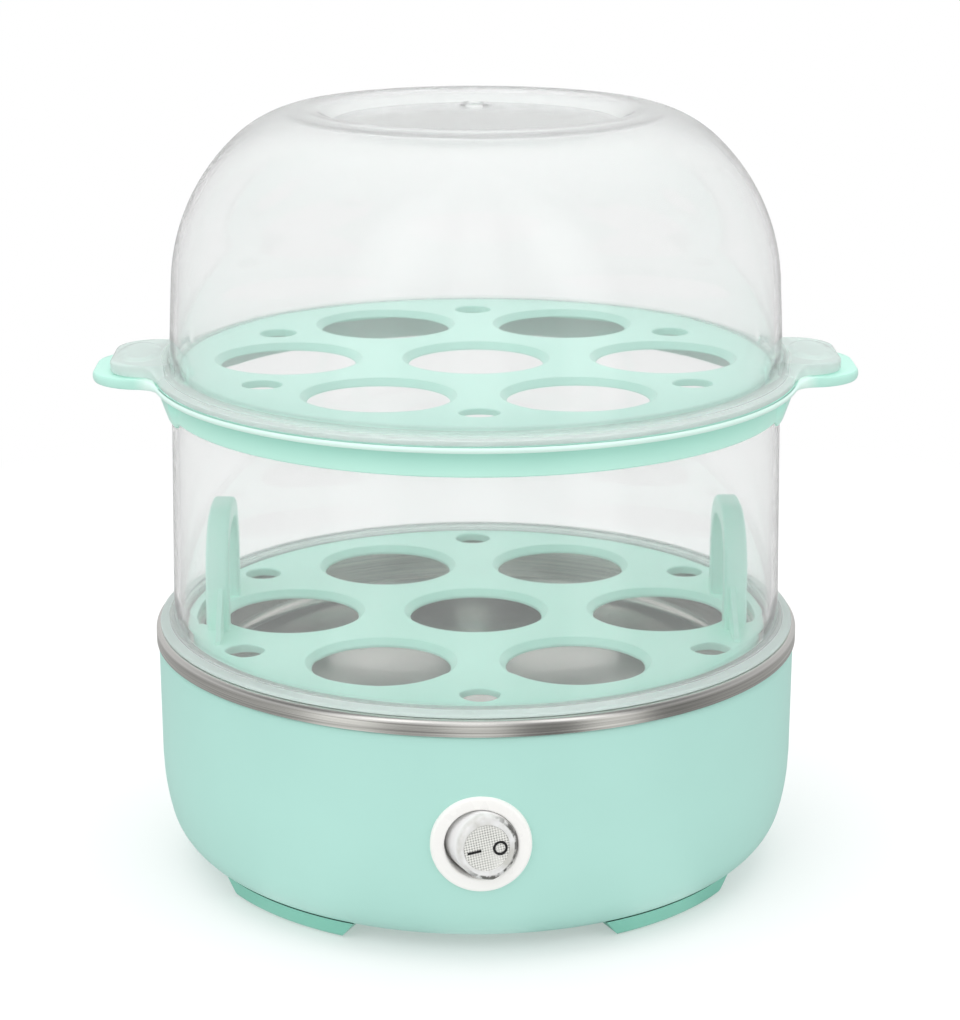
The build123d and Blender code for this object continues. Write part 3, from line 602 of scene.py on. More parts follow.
def steel(name):
    """Stainless sheet brushed round the axis: fine rings of height and of polish."""
    f = Finish(name).set(Metallic=1.0, Roughness=0.26, Anisotropic=0.55)
    radius, height = f.polar()
    rings = f.add("CombineXYZ", X=radius, Y=height)
    lines = f.noise(9000.0, 3.0, rings.outputs[0])
    streak = f.noise(1.0, 4.0, f.stretched(16, 16, 3800))
    patch = f.noise(1.0, 2.0, f.stretched(30, 30, 500))
    c = colours().steel
    tone = f.blend(f.ramp(streak, 0, 1, 0.32, 0.68), shade(c, 0.62), shade(c, 1.14))
    tone = f.blend(f.ramp(patch, 0, 0.15, 0.45, 0.75), tone, shade(c, 0.6))
    # Painted highlight: the rolled edge gets a brighter colour than the rest of the sheet
    edge = f.times(f.rise(radius, 78.6, 79.1), f.rise(height, 59.4, 59.9))
    f.feed("Base Color", f.blend(edge, tone, linear((0.97, 0.965, 0.95))))
    f.feed("Roughness", f.ramp(lines, 0.16, 0.3))
    tangent = f.add("Tangent")
    tangent.direction_type = "RADIAL"
    tangent.axis = "Z"
    f.feed("Tangent", tangent.outputs[0])
    return f.bump(lines, 0.12, 0.03 * MM).material


def metal(name, c, roughness):
    """Plated or cast metal with an uneven polish."""
    f = Finish(name).set(Metallic=1.0, Roughness=roughness)
    f.feed("Base Color", f.blend(f.noise(160.0), shade(c, 0.85), shade(c, 1.08)))
    f.feed("Roughness", f.ramp(f.noise(420.0), roughness - 0.08, roughness + 0.1))
    return f.bump(f.noise(900.0), 0.2, 0.05 * MM).material


def dull(name, c, roughness=0.7):
    """Ceramic, rubber, sleeve or ink: matt with a grain."""
    f = Finish(name).set(Roughness=roughness)
    f.feed("Base Color", f.blend(f.noise(300.0), shade(c, 0.88), shade(c, 1.06)))
    return f.bump(f.noise(1500.0), 0.3, 0.06 * MM).material


def painted_tray_light(f, plain):
    """Painted light on the upper tray: its skirt is painted paler towards its lower edge, so that its top
    looks shaded under the flange, and its flange's edge is paler, a painted highlight.

    The lower tray is paler as a whole, painted light. Skirt and edge are ranges of height and of distance
    from the axis.
    """
    radius, height = f.polar()
    # Painted light: the lower tray, below 100 mm, is paler as a whole
    plain = f.blend(f.rise(height, 100, 110, 1.0, 0.0), plain, shade(colours().tray, 1.14))
    upper = f.rise(height, 112, 113)
    # Painted light: the skirt gets paler towards its lower edge, darker just under the flange
    skirt = f.times(f.rise(height, 115.5, 120.5, 0.75, 0.0), f.rise(radius, 74.5, 75.0))
    # Painted highlight: the flange's edge is paler, less so on the ears
    edge = f.times(f.rise(radius, 78.5, 79.2, 0.0, 0.65), f.rise(radius, 81.0, 84.0, 1.0, 0.16))
    painted_skirt_light = f.blend(f.times(upper, skirt), plain, linear((0.82, 1.0, 0.94)))
    return f.blend(f.times(upper, edge), painted_skirt_light, linear((0.94, 1.0, 0.975)))


def use(maker, name, *args):
    """The finish of that name, made once."""
    return bpy.data.materials.get(name) or maker(name, *args)


def clear():
    """Plastic of the lid and the middle cover."""
    return use(clear_plastic, "clear_moulded")


def white():
    """Plastic of the switch's housing and the terminal block."""
    return use(moulded, "white_gloss", colours().white, 0.28)


def tray_mint():
    """Plastic of both trays, with painted light on its paler stretches."""
    return use(moulded, "mint_gloss", colours().tray, 0.3, painted_tray_light)


# ------------------------------------------------------------------ base, bezel and gland


class PieceOperator:
    """Shared by all the operators here: one press makes one group of pieces."""

    bl_options = {"REGISTER", "UNDO"}


# Holes through the base's wall: side in Y, height, radius, and half the width of its window in columns
HOLES = ((-1, SWITCH_Z, 9.95, 12), (1, GLAND_Z, 6.15, 8))
# One column of the wall's grid for every degree of azimuth
COLUMNS = 360
# The upright part of the wall lies outside this radius
UPRIGHT_R = 76.0


class COOKER_OT_base(PieceOperator, bpy.types.Operator):
    """Make the moulded mint base with its two round holes, for the switch and for the cord's gland"""

    bl_idname = "cooker.base"
    bl_label = "Base"

    def execute(self, context):
        """Both faces of the wall carried round the axis, with windows that are refilled round the holes."""
        margin, shoulder_z = 3.6, 57.0
        outer, inner = self.faces()
        grid = np.stack(lathe(np.concatenate([outer, inner]), COLUMNS))
        points, quads = skin(list(grid), closed=True)
        quads = quads.reshape(len(grid), COLUMNS, 4)
        keep = np.ones(quads.shape[:2], bool)
        shape = Shape()
        for first, face in ((0, outer), (len(outer), inner)):
            for side, z, radius, reach in HOLES:
                near = (np.abs(face[:, 1] - z) < radius + margin) & (face[:, 0] > UPRIGHT_R)
                low, high = first + np.flatnonzero(near)[[0, -1]]
                column = 180 - 90 * side
                left, right = column - reach, column + reach
                keep[low:high, left:right] = False
                window = grid[low : high + 1, left : right + 1]
                shape.add(self.pierce(window, face, side, z, radius))
        shape.add((points, quads[keep]))
        below_rim = (inner[:, 0] > UPRIGHT_R) & (inner[:, 1] < shoulder_z)
        upright = outer[outer[:, 0] > UPRIGHT_R], inner[below_rim]
        for side, z, radius, _ in HOLES:
            shape.add(skin([self.circle(full_turn(96), side, z, radius, face) for face in upright]))
        mint = moulded("mint_satin", colours().body, 0.42)
        shape.make("base_body", "base", mint, "body_mint", ["base_shell"], angle=50)
        return {"FINISHED"}

    def faces(self):
        """Profiles of the wall's outer face, from the bottom up, and of its inner face, from the top down."""
        corner, corner_r, wall = (63.17, 17.5), 14.8, 2.4
        bend, sweep_r = 14.5, 54.0
        low = arc(corner, corner_r, -75, -bend, 20)
        turn = np.radians(bend)
        centre = low[-1][0] - sweep_r * np.cos(turn), low[-1][1] + sweep_r * np.sin(turn)
        blend = arc(centre, sweep_r, -bend, -1.0, 8)
        side = np.vstack([np.linspace((79.3, 27.5), (79.45, 56.3), 16), [(79.2, 56.6)]])
        outer = np.concatenate([[[65.3, 3.2]], low, blend[1:], side])
        rim = [[79.0, 56.6], [79.0, 59.7], [78.7, 60.0], [77.4, 60.0], [77.1, 59.7]]
        back = np.linspace((77.05, 55), (77.05, 17), 20)
        foot = [[62.0, 7.6], [62.0, 5.4], [65.2, 5.4]]
        return outer, np.concatenate([rim, back, arc(corner, corner_r - wall, -6, -52.9, 10), foot])

    def circle(self, angle, side, z, radius, face):
        """Circle drawn on the wall: its height gives the wall's radius, and that its depth."""
        across, height = radius * np.cos(angle), z + radius * np.sin(angle)
        order = np.argsort(face[:, 1])
        wall = np.interp(height, face[order, 1], face[order, 0])
        return np.column_stack([across, side * np.sqrt(wall**2 - across**2), height])

    def pierce(self, window, face, side, z, radius):
        """Faces between the edge of a window in the wall's grid and a round hole in the middle of it."""
        edge = np.concatenate([window[0, :-1], window[:-1, -1], window[-1, :0:-1], window[:0:-1, 0]])
        angle = np.arctan2(edge[:, 2] - z, edge[:, 0])
        hole = self.circle(angle, side, z, radius, face)
        middle = (edge + hole) / 2
        middle = self.circle(angle, side, z, np.hypot(middle[:, 0], middle[:, 2] - z), face)
        return skin([edge, middle, hole])


class COOKER_OT_fittings(PieceOperator, bpy.types.Operator):
    """Make the switch's bezel and barrel and the gland at the back"""

    bl_idname = "cooker.fittings"
    bl_label = "Bezel and gland"

    def execute(self, context):
        self.bezel()
        self.gland()
        return {"FINISHED"}

    def bezel(self):
        """Bezel and barrel: one profile turned about the switch's axis, closed at both of its inner ends."""
        barrel_r, bezel_r, bore = 9.8, 11.65, 8.4
        back, floor, wall, front = -60.2, -62.0, -78.45, -80.05
        points = [
            (barrel_r, back), (barrel_r, wall), (bezel_r, wall), (bezel_r, front), (bore, front),
            (bore, floor),
        ]
        loops = lathe_y(rounded(points, (0.05, 0.08, 0.95, 0.5), step=12), SWITCH_Z)
        shape = Shape().add(skin(loops))
        shape.add(fan(loops[0], (0, back, SWITCH_Z))).add(fan(loops[-1], (0, floor, SWITCH_Z)))
        shape.make("switch_bezel", "base", white(), "white_plastic", ["switch_housing"])

    def gland(self):
        """Gland: a closed profile turned about its bore, with a groove that takes the wall."""
        bore, inside, barb, groove, head, nose = 3.5, 5.8, 6.9, 6.05, 8.5, 5.3
        points = [
            (bore, 71), (inside, 71), (barb, 74), (barb, 74.7), (groove, 74.7), (groove, 77.8),
            (head, 77.8), (head, 79.4), (5.9, 80.4), (nose, 83.66), (bore, 83.66), (bore, 71),
        ]
        radii = (0.2, 0.2, 0.1, 0.1, 0.1, 0.3, 0.6, 0.9, 0.5, 0.3)
        profile = rounded(points, radii, step=14)[:-1]
        shape = Shape().add(skin(lathe_y(profile, GLAND_Z, 72), closed=True))
        plastic = moulded("bushing_plastic", colours().white, 0.45)
        shape.make("cord_bushing", "base", plastic, "gland_white", ["cord_gland"])


# ------------------------------------------------------------------ rocker


# Heights of the rocker's rim and foot over its pivot, and its face: middle, radius, and height over width
FACE_H, FOOT_H = 7.37, -5.0
FACE_MIDDLE, FACE_R, FACE_TALL = -0.25, 5.28, 1.02


def on_rocker(a, b, h):
    """Points at three distances from the pivot: a across, b along the hinge and h outward."""
    h = h + 0 * a
    return PIVOT + a[:, None] * ACROSS + b[:, None] * HINGE + h[:, None] * OUTWARD


def rocker_middle(h, a=FACE_MIDDLE):
    """One point on the line across the rocker, at a height over its pivot."""
    return PIVOT + OUTWARD * h + ACROSS * a


class COOKER_OT_rocker(PieceOperator, bpy.types.Operator):
    """Make the clear rocker, its waffled face and its two marks"""

    bl_idname = "cooker.rocker"
    bl_label = "Rocker"

    def execute(self, context):
        self.body()
        self.face()
        self.marks()
        return {"FINISHED"}

    def side(self, h, inset=0.0):
        """Outline that clears the bore at both ends of the tilt.

        Tilted, a point at a height moves by k across the bore, and a radius r reaches lean r across and c r
        along. The radius is the positive root of (lean r + k) squared + (c r) squared = bore squared. The
        rim's inset comes off it, wider by 0.4 of itself at the ends of the hinge.
        """
        bore = 8.28
        angle = full_turn(216)
        lean, c, k = np.abs(np.cos(angle)) * np.cos(TILT), np.sin(angle), abs(h) * np.sin(TILT)
        q = lean**2 + c**2
        r = (-lean * k + np.sqrt((lean * k) ** 2 - q * (k**2 - bore**2))) / q - inset * (1 + 0.4 * c**2)
        return on_rocker(r * np.cos(angle), r * np.sin(angle), h)

    def disc(self, r, h, at=FACE_MIDDLE, tall=1.0, count=216):
        """Loop that is round, or an ellipse with tall as its height over its width."""
        angle = full_turn(count)
        return on_rocker(at + r * np.cos(angle), tall * r * np.sin(angle), h)

    def body(self):
        """Hollow from its inner end out, the flank with its rounded rim, and the lip down to the face."""
        inner_h, hollow_r = 3.2, 5.4
        hollow = ((0.05, inner_h), (5.1, inner_h), (hollow_r, 2.9), (hollow_r, FOOT_H))
        loops = [self.disc(r, h, 0) for r, h in hollow]
        loops += [self.side(h) for h in (FOOT_H, -2.5, 0.0, 2.5, 5.0, FACE_H - 0.9)]
        for drop, inset in ((0.5, 0.12), (0.22, 0.32), (0.06, 0.56), (0.0, 0.8)):
            loops.append(self.side(FACE_H - drop, inset))
        for wider, drop in ((0.12, 0.0), (0.06, 0.05), (0.03, 0.22)):
            loops.append(self.disc(FACE_R + wider, FACE_H - drop, tall=FACE_TALL))
        shape = Shape().add(skin(loops)).add(fan(loops[0], rocker_middle(inner_h, 0)))
        shape.add(fan(loops[-1], rocker_middle(FACE_H - 0.22)))
        plastic = use(clear_rocker, "clear_rocker")
        shape.make("rocker_body", "rocker", plastic, "rocker_clear", ["switch_rocker"])

    def face(self):
        """The face inside the rim: a waffle whose depth follows a triangle wave along both directions."""
        depth, top, under = 0.2, FACE_H - 0.06, FACE_H - 0.2
        around = full_turn(300)
        loops = [self.disc(FACE_R, under, tall=FACE_TALL, count=300)]
        for r in np.linspace(FACE_R, 0.06, 84):
            a, b = FACE_MIDDLE + r * np.cos(around), FACE_TALL * r * np.sin(around)
            wave = np.abs((a / PITCH) % 1 - 0.5) + np.abs((b / PITCH) % 1 - 0.5)
            loops.append(on_rocker(a, b, top - depth * wave * min(1.0, (FACE_R - r) / 0.1)))
        shape = Shape().add(skin(loops)).add(fan(loops[-1], rocker_middle(top)))
        shape.add(fan(loops[0], rocker_middle(under)))
        shape.make("rocker_face", "rocker", use(waffle_clear, "waffle_clear"), "rocker_clear", angle=15)

    def marks(self):
        """Dash and ring: two flat bars that stand in the face, one a rounded oblong and one a closed ring."""
        low, high = FACE_H - 0.2, FACE_H - 0.02
        half, thick = 1.6, 0.26
        dash_a, dash_b, ring_a, ring_b = -3.18, -0.35, 2.82, -0.75
        points = [(0, -thick), (half, -thick), (half, thick), (-half, thick), (-half, -thick), (0, -thick)]
        dash = rounded(points, (0.12,) * 4, 20)[:-1]
        shape = Shape().add_bar([on_rocker(dash[:, 0] + dash_a, dash[:, 1] + dash_b, h) for h in (low, high)])
        around = full_turn(72)
        inner_r, outer_r = 1.16, 1.7
        corners = ((inner_r, low), (outer_r, low), (outer_r, high), (inner_r, high))
        loops = [on_rocker(ring_a + r * np.cos(around), r * np.sin(around) + ring_b, h) for r, h in corners]
        shape.add(skin(loops, closed=True))
        ink = dull("mark_ink", colours().marks, 0.5)
        shape.make("rocker_marks", "rocker", ink, "rocker_clear", angle=30)


# ------------------------------------------------------------------ pan and trays


class COOKER_OT_pan(PieceOperator, bpy.types.Operator):
    """Make the steel pan with its rolled rim"""

    bl_idname = "cooker.pan"
    bl_label = "Heating pan"

    def execute(self, context):
        """The sheet's upper face, and its lower face one thickness inside it, both carried round the axis."""
        t = sizes().sheet / MM
        floor_z, ledge_z, rim_z, edge_z = 47.0, 59.4, 60.8, 56.85
        points = np.array(
            [(80, edge_z), (80, rim_z), (76.2, rim_z), (76.2, ledge_z), (69.5, ledge_z), (67, floor_z),
             (30, floor_z), (0, floor_z)]
        )
        inward = np.array([(-1, 0), (-1, -1), (1, -1), (1, -1), (-1, -1), (-1, -1), (0, -1), (0, -1)])
        top = rounded(points, (1.2, 0.9, 0.4, 1.6, 4.0, 0), step=10)[:-1]
        under = rounded(points + inward * t, (0.4, 0.12, 1.2, 0.8, 4.8, 0), step=12)[:-1]
        loops = lathe(np.concatenate([top, under[::-1]]), 300)
        upper, lower = loops[: len(top)], loops[len(top) :]
        shape = Shape().add(skin(upper)).add(skin(lower)).add(skin([lower[-1], upper[0]]))
        shape.add(fan(upper[-1], (0, 0, floor_z))).add(fan(lower[0], (0, 0, floor_z - t)))
        shape.make("pan", "base", use(steel, "brushed_steel"), "steel", ["heating_pan"])
        return {"FINISHED"}


def tray_holes(shape, steam_r, top_z, under_z):
    """Walls of the seven seats and six steam holes of a tray's floor. Returns their upper and lower loops."""
    s = sizes()
    hole, slope, steam = s.seat_hole / MM, s.seat_slope / MM, s.steam_hole / MM
    seats = np.vstack([(0, 0), arc((0, 0), s.seat_ring / MM, 0, 300, 6)])
    vents = arc((0, 0), steam_r, 30, 330, 6)
    rim = [(hole + slope + 0.5, top_z), (hole + slope, top_z), (hole, top_z - slope)]
    seat = rounded(rim + [(hole, under_z), (hole + 0.6, under_z)], (0.4, 0.5, 0.15), step=15)
    points = [(steam + 0.5, top_z), (steam, top_z), (steam, under_z), (steam + 0.4, under_z)]
    vent = rounded(points, (0.35, 0.15), step=22)
    tops, unders = [], []
    for centres, profile, count in ((seats, seat, 72), (vents, vent, 36)):
        for centre in centres:
            loops = [ring(r, z, full_turn(count), centre) for r, z in profile]
            shape.add(skin(loops))
            tops.append(loops[0])
            unders.append(loops[-1])
    return tops, unders


class COOKER_OT_lower_tray(PieceOperator, bpy.types.Operator):
    """Make the lower egg tray with its two arched handles"""

    bl_idname = "cooker.lower_tray"
    bl_label = "Lower tray"

    def execute(self, context):
        """Rim carried round the axis, two flat faces with the holes' walls between them, then the handles."""
        edge_r, top_z, under_z = 72.6, 61.5, 59.4
        shape = Shape()
        tops, unders = tray_holes(shape, 64.4, top_z, under_z)
        for sign in (1, -1):
            slot = self.slot(sign)
            tops.append(np.column_stack([slot, np.full(len(slot), top_z)]))
            unders.append(np.column_stack([slot, np.full(len(slot), under_z)]))
            shape.add(skin([tops[-1], unders[-1]]))
        points = [(edge_r - 2, top_z), (edge_r, top_z), (edge_r, under_z), (edge_r - 1, under_z)]
        rim = lathe(rounded(points, (0.8, 0.3), 15))
        shape.add(skin(rim)).add(plate(rim[0], tops, top_z)).add(plate(rim[-1], unders, under_z))
        for sign in (1, -1):
            self.handle(shape, sign, top_z)
            self.gussets(shape, sign, top_z)
        shape.make("egg_tray_lower", "lower_tray", tray_mint(), "tray_mint", ["lower_tray"])
        return {"FINISHED"}

    def slot(self, sign):
        """Slot in the floor: straight beside the handle, round outside."""
        outer_r, inner_x, half_y = 70.0, 66.2, 12.0
        half = np.degrees(np.arcsin(half_y / outer_r))
        outer = arc((0, 0), outer_r, -half, half, 25)
        inner = np.array([[inner_x, half_y], [inner_x, -half_y]])
        return np.concatenate([outer, inner])[::sign] * (sign, 1)

    def arch(self, half_y, top_z, foot_z, radius):
        """Evenly spaced points up one leg, over the arch and down the other."""
        points = [(-half_y, foot_z), (-half_y, top_z), (half_y, top_z), (half_y, foot_z)]
        return even(rounded(points, (radius, radius), 5), 120)

    def handle(self, shape, sign, floor_z):
        """A rounded section carried along the arch. Its outer face leans in a little towards the top."""
        in_x, out_x, lean = 60.6, 66.2, 0.3
        top_z, half_y, bar = 90.0, 17.0, 5.0
        outer = self.arch(half_y, top_z, floor_z - 0.5, 14.0)
        inner = self.arch(half_y - bar, top_z - bar, floor_z - 0.5, 9.0)
        section = rounded([(0.5, 0), (1, 0), (1, 1), (0, 1), (0, 0), (0.5, 0)], (0.16,) * 4, 22)[:-1]
        strips = []
        for across, depth in section:
            line = between(outer, inner, across)
            height = (line[:, 1] - floor_z) / (top_z - floor_z)
            x = in_x + (out_x - in_x - lean * height) * depth
            strips.append(np.column_stack([sign * x, line]))
        shape.add_bar(list(np.stack(strips).transpose(1, 0, 2)))

    def gussets(self, shape, sign, floor_z):
        """Flat triangles with rounded corners, one outside each leg of the handle."""
        in_x, out_x, leg_y = 61.9, 63.1, 16.5
        foot, reach, nose, rise = -0.4, 11.5, 0.8, 11.5
        points = [
            (leg_y, floor_z + foot), (leg_y + reach, floor_z + foot), (leg_y + reach, floor_z + nose),
            (leg_y, floor_z + rise), (leg_y, floor_z + foot),
        ]
        side = rounded(points, (0.01, 0.5, 0.3), 15)[:-1]
        for leg in (1, -1):
            places = [np.full(len(side), sign * x) for x in (in_x, out_x)]
            shape.add_bar([np.column_stack([x, leg * side[:, 0], side[:, 1]]) for x in places])


class COOKER_OT_upper_tray(PieceOperator, bpy.types.Operator):
    """Make the upper egg tray with its flange, skirt and ears"""

    bl_idname = "cooker.upper_tray"
    bl_label = "Upper tray"

    def execute(self, context):
        """Loops from the floor's edge over flange and ears, down the skirt and back under the floor."""
        floor_z, under_floor_z, flange_z, under_z = 126.4, 124.6, 123.6, 122.2
        rings = Rings(79.4, 93.4, 16.5, 12.0, 7.0)
        points = [(70, floor_z), (72.8, floor_z), (72.8, flange_z), (77.5, flange_z)]
        for r, z in rounded(points, (0.7, 0.5), 15):
            rings.at(r, z)
        self.ears(rings, flange_z, under_z)
        self.skirt(rings, under_z)
        for r, z in ((71.0, under_z), (71.0, under_floor_z), (69.5, under_floor_z)):
            rings.at(r, z)
        shape = Shape().add(skin(rings.loops))
        tops, unders = tray_holes(shape, 58.2, floor_z, under_floor_z)
        shape.add(plate(rings.loops[0], tops, floor_z)).add(plate(rings.loops[-1], unders, under_floor_z))
        shape.make("egg_tray_upper", "upper_tray", tray_mint(), "tray_mint", ["upper_tray"])
        return {"FINISHED"}

    def ears(self, rings, flange_z, under_z):
        """Up the step of each ear, over its top and round its edge, which is half an ellipse."""
        ear_z, edge_r = 124.7, 0.65
        reach = rings.reach
        top_z = between(flange_z, ear_z, rings.ear)
        step_r = np.minimum(79.0, reach - 0.7)
        rings.at(step_r - 0.25, flange_z)
        rings.at(step_r, between(flange_z, top_z, 0.3))
        rings.at(step_r + 0.05, between(flange_z, top_z, 0.75))
        rings.at(step_r + np.minimum(0.35, 0.3 * (reach - step_r)), top_z)
        for share in (0.3, 0.6):
            rings.at(between(step_r, reach - edge_r, share), top_z)
        middle, half = (top_z + under_z) / 2, (top_z - under_z) / 2
        for angle in np.radians(np.linspace(90, -90, 9)):
            rings.at(reach - edge_r + edge_r * np.cos(angle), middle + half * np.sin(angle))

    def skirt(self, rings, under_z):
        """Underside of the flange and the skirt, which swells within 20 degrees of an ear's middle."""
        narrow, inner_r = np.cos(np.radians(20)), 74.78
        near = np.clip((np.abs(np.cos(rings.azimuth)) - narrow) / (1 - narrow), 0, 1)
        swell = smooth(np.clip(near * 9, 0, 1))
        rings.at(77.9, under_z)
        # Height, then radius away from the ears and below them
        flank = (
            (122.0, 75.95, 77.6), (121.2, 75.72, 77.55), (119.4, 75.7, 77.35), (117.6, 75.66, 76.75),
            (116.3, 75.62, 76.3),
        )
        for z, plain, fat in flank:
            rings.at(between(plain, fat, swell), z)
        # Lower edge: height and radius, each away from the ears and below them
        edge = ((115.95, 114.75, 75.35, 75.75), (115.9, 114.6, 75.2, 75.35), (115.9, 114.6, 74.95, 75.0))
        for z, low, plain, fat in edge:
            rings.at(between(plain, fat, swell), between(z, low, swell))
        rings.at(inner_r, 116.1)
        rings.at(inner_r, under_z)


# ------------------------------------------------------------------ middle cover and lid


class COOKER_OT_cover(PieceOperator, bpy.types.Operator):
    """Make the clear middle cover"""

    bl_idname = "cooker.cover"
    bl_label = "Middle cover"

    def execute(self, context):
        """Closed profile of foot, flange and tapered wall, carried round the axis."""
        inner_r, top_r, top_z = 73.9, 74.4, 122.2
        wall = sizes().lid_wall / MM
        points = [
            (inner_r, 70), (inner_r, 59.98), (75.4, 59.98), (75.4, 60.88), (79, 60.88), (79, 61.7),
            (75.7, 62.6), (75.45, 66), (top_r, top_z), (top_r - wall, top_z), (inner_r, 70),
        ]
        profile = rounded(points, (0.3, 0.3, 0.01, 0.3, 0.45, 0.9, 0, 0.3, 0.3), step=15)[:-1]
        shape = Shape().add(skin(lathe(profile, 300), closed=True))
        shape.make("cover_clear", "middle_cover", clear(), "clear_plastic", ["middle_cover"])
        return {"FINISHED"}


class COOKER_OT_lid(PieceOperator, bpy.types.Operator):
    """Make the clear lid with its recess, flange and ears"""

    bl_idname = "cooker.lid"
    bl_label = "Lid"

    crown_z, under_crown_z = 184.6, 183.0
    flange_z, ear_z, seat_z = 125.1, 127.8, 123.68

    def execute(self, context):
        """Loops from the recess down the outer face, round flange and ears, and up the inner face."""
        outer, inner = self.dome()
        rings = Rings(78.6, 88.8, 15.6, 9.0, 4.5)
        for r, z in outer[::-1]:
            rings.at(r, z)
        for z in (142, 136, 131):
            rings.at(self.taper(z, 75.0, 73.9), z)
        inset = 0.5 + 0.7 * rings.ear
        self.flange_top(rings, inset)
        self.flange_edge(rings, inset)
        for z in (131, 139):
            rings.at(self.taper(z, 73.4, 72.3), z)
        for r, z in inner:
            rings.at(r, z)
        shape = Shape().add(skin(rings.loops))
        self.crown(shape, rings.loops)
        shape.make("lid_clear", "lid", clear(), "clear_plastic", ["lid"], angle=40)
        return {"FINISHED"}

    def dome(self):
        """Outer and inner profile from the wall to the recess.

        Two arcs, each tangent to what comes before it, and a soft crest. The inner profile lies one wall
        inside the outer one, square to its slope.
        """
        recess, crown_z = sizes().recess / MM, self.crown_z
        foot, shoulder = np.array([75.0, 124.0]), np.array([73.85, 147.0])
        low, heading = tangent_arc(shoulder, shoulder - foot, (58.0, 180.5), 24)
        high, _ = tangent_arc(low[-1], heading, (38.5, 188.0), 16)
        points = np.vstack([high[-6], high[-1], [recess, crown_z], [recess - 4, crown_z]])
        crest = rounded(points, (6.0, 0.8), 6)
        outer = np.vstack([low[:-1], high[:-6], crest])
        slope = np.gradient(outer, axis=0)
        slope /= np.linalg.norm(slope, axis=1)[:, None]
        wall = sizes().lid_wall / MM
        return outer, outer - np.column_stack([slope[:, 1], -slope[:, 0]]) * wall

    def taper(self, z, foot_r, top_r):
        """Radius of the wall at a height: a straight line over the 23 mm above its foot at 124."""
        return foot_r + (top_r - foot_r) * (z - 124) / 23

    def flange_top(self, rings, inset):
        """From the wall's foot over the flange, and up over each ear with its raised pad.

        The pad is an ellipse about its middle, and its height rises from its rim with the power 1.5.
        """
        root_r = 75.8
        pad_x, pad_rx, pad_ry, pad_h = 82.2, 5.2, 10.8, 0.6
        ear, azimuth = rings.ear, rings.azimuth
        foot_z = between(126.3, 128.5, ear)
        for r, rise in ((74.95, 0.3), (75.1, -0.15), (75.5, -0.5)):
            rings.at(r, foot_z + rise)
        start_z, top_z = foot_z - 0.62, between(self.flange_z, self.ear_z, ear)
        for share in np.linspace(0.08, 1, 14):
            r = between(root_r, rings.reach - inset, share)
            z = between(start_z, top_z, np.clip(share * (1 + 2 * ear), 0, 1))
            x, y = np.abs(r * np.cos(azimuth)), r * np.sin(azimuth)
            pad = 1 - np.hypot((x - pad_x) / pad_rx, y / pad_ry)
            rings.at(r, z + ear * pad_h * np.clip(pad / 0.12, 0, 1) ** 1.5)

    def flange_edge(self, rings, inset):
        """Round the edge, into the hollow under each ear, then along the flat seat of the flange."""
        reach, ear, seat_z = rings.reach, rings.ear, self.seat_z
        top_z = between(self.flange_z, self.ear_z, ear)
        low_z = between(seat_z, 124.95, ear)
        for a in np.radians(np.linspace(75, 0, 6)):
            rings.at(reach - inset + inset * np.cos(a), top_z - inset * 0.6 * (1 - np.sin(a)))
        for back, rise in ((0.0, 0.35), (0.15, 0.06), (0.45, 0.0)):
            rings.at(reach - back, low_z + rise)
        hollow = ear * (self.ear_z - 1.5 - 124.9)
        rings.at(reach - 0.45 - 1.3 * ear, low_z)
        rings.at(reach - 0.5 - 1.6 * ear, low_z + hollow * 0.9)
        rings.at(reach - 0.55 - 2.1 * ear, low_z + hollow)
        rings.at(78.0 + 1.4 * ear, low_z + hollow)
        rings.at(77.9 + 0.8 * ear, low_z + hollow * 0.8)
        rings.at(77.8 + 0.7 * ear, seat_z + 0.05)
        rings.at(77.5 + 0.7 * ear, seat_z)
        rings.at(73.7, seat_z)
        rings.at(73.42, 123.9)

    def crown(self, shape, loops):
        """Both faces of the crown's floor, with a collared steam vent near its back."""
        vent_y, bore, collar_z = 27.0, 2.6, 185.2
        top_z, under_z = self.crown_z, self.under_crown_z
        collar = [(5.2, top_z), (4.5, top_z), (4.0, collar_z), (bore, collar_z)]
        vent = rounded(collar + [(bore, under_z), (3.4, under_z)], (0.5, 0.4, 0.4, 0.5), 22)
        holes = [ring(r, z, full_turn(32), (0.0, vent_y)) for r, z in vent]
        shape.add(skin(holes)).add(plate(loops[0], [holes[0]], top_z))
        shape.add(plate(loops[-1], [holes[-1]], under_z))


# ------------------------------------------------------------------ pieces that keep their CAD mesh


class COOKER_OT_inner(PieceOperator, bpy.types.Operator):
    """Give each remaining CAD piece its own procedural finish"""

    bl_idname = "cooker.inner"
    bl_label = "Inner pieces"

    def execute(self, context):
        c = colours()
        finishes = {
            "zinc": metal("zinc_plate", screen(182, 184, 186), 0.35),
            "cast_alloy": metal("alloy_as_cast", screen(186, 188, 190), 0.55),
            "steel": use(steel, "brushed_steel"),
            "ceramic": dull("ceramic_raw", screen(230, 224, 212)),
            "rubber": dull("pad_rubber", c.rubber),
            "white_plastic": white(),
            "foot_green": moulded("foot_mint", c.feet, 0.45),
            "lead_sleeve": dull("silicone_sleeve", screen(219, 216, 208), 0.6),
            "lamp_glass": moulded("lamp_bulb", c.white, 0.1),
        }
        slots = {s["node"]: s["material_slot"] for s in frame["record"]["subparts"]}
        for node, piece in frame["nodes"].items():
            finish = finishes.get(slots[node])
            if finish:
                piece.data.materials.clear()
                piece.data.materials.append(finish)
        return {"FINISHED"}


# ------------------------------------------------------------------ stage


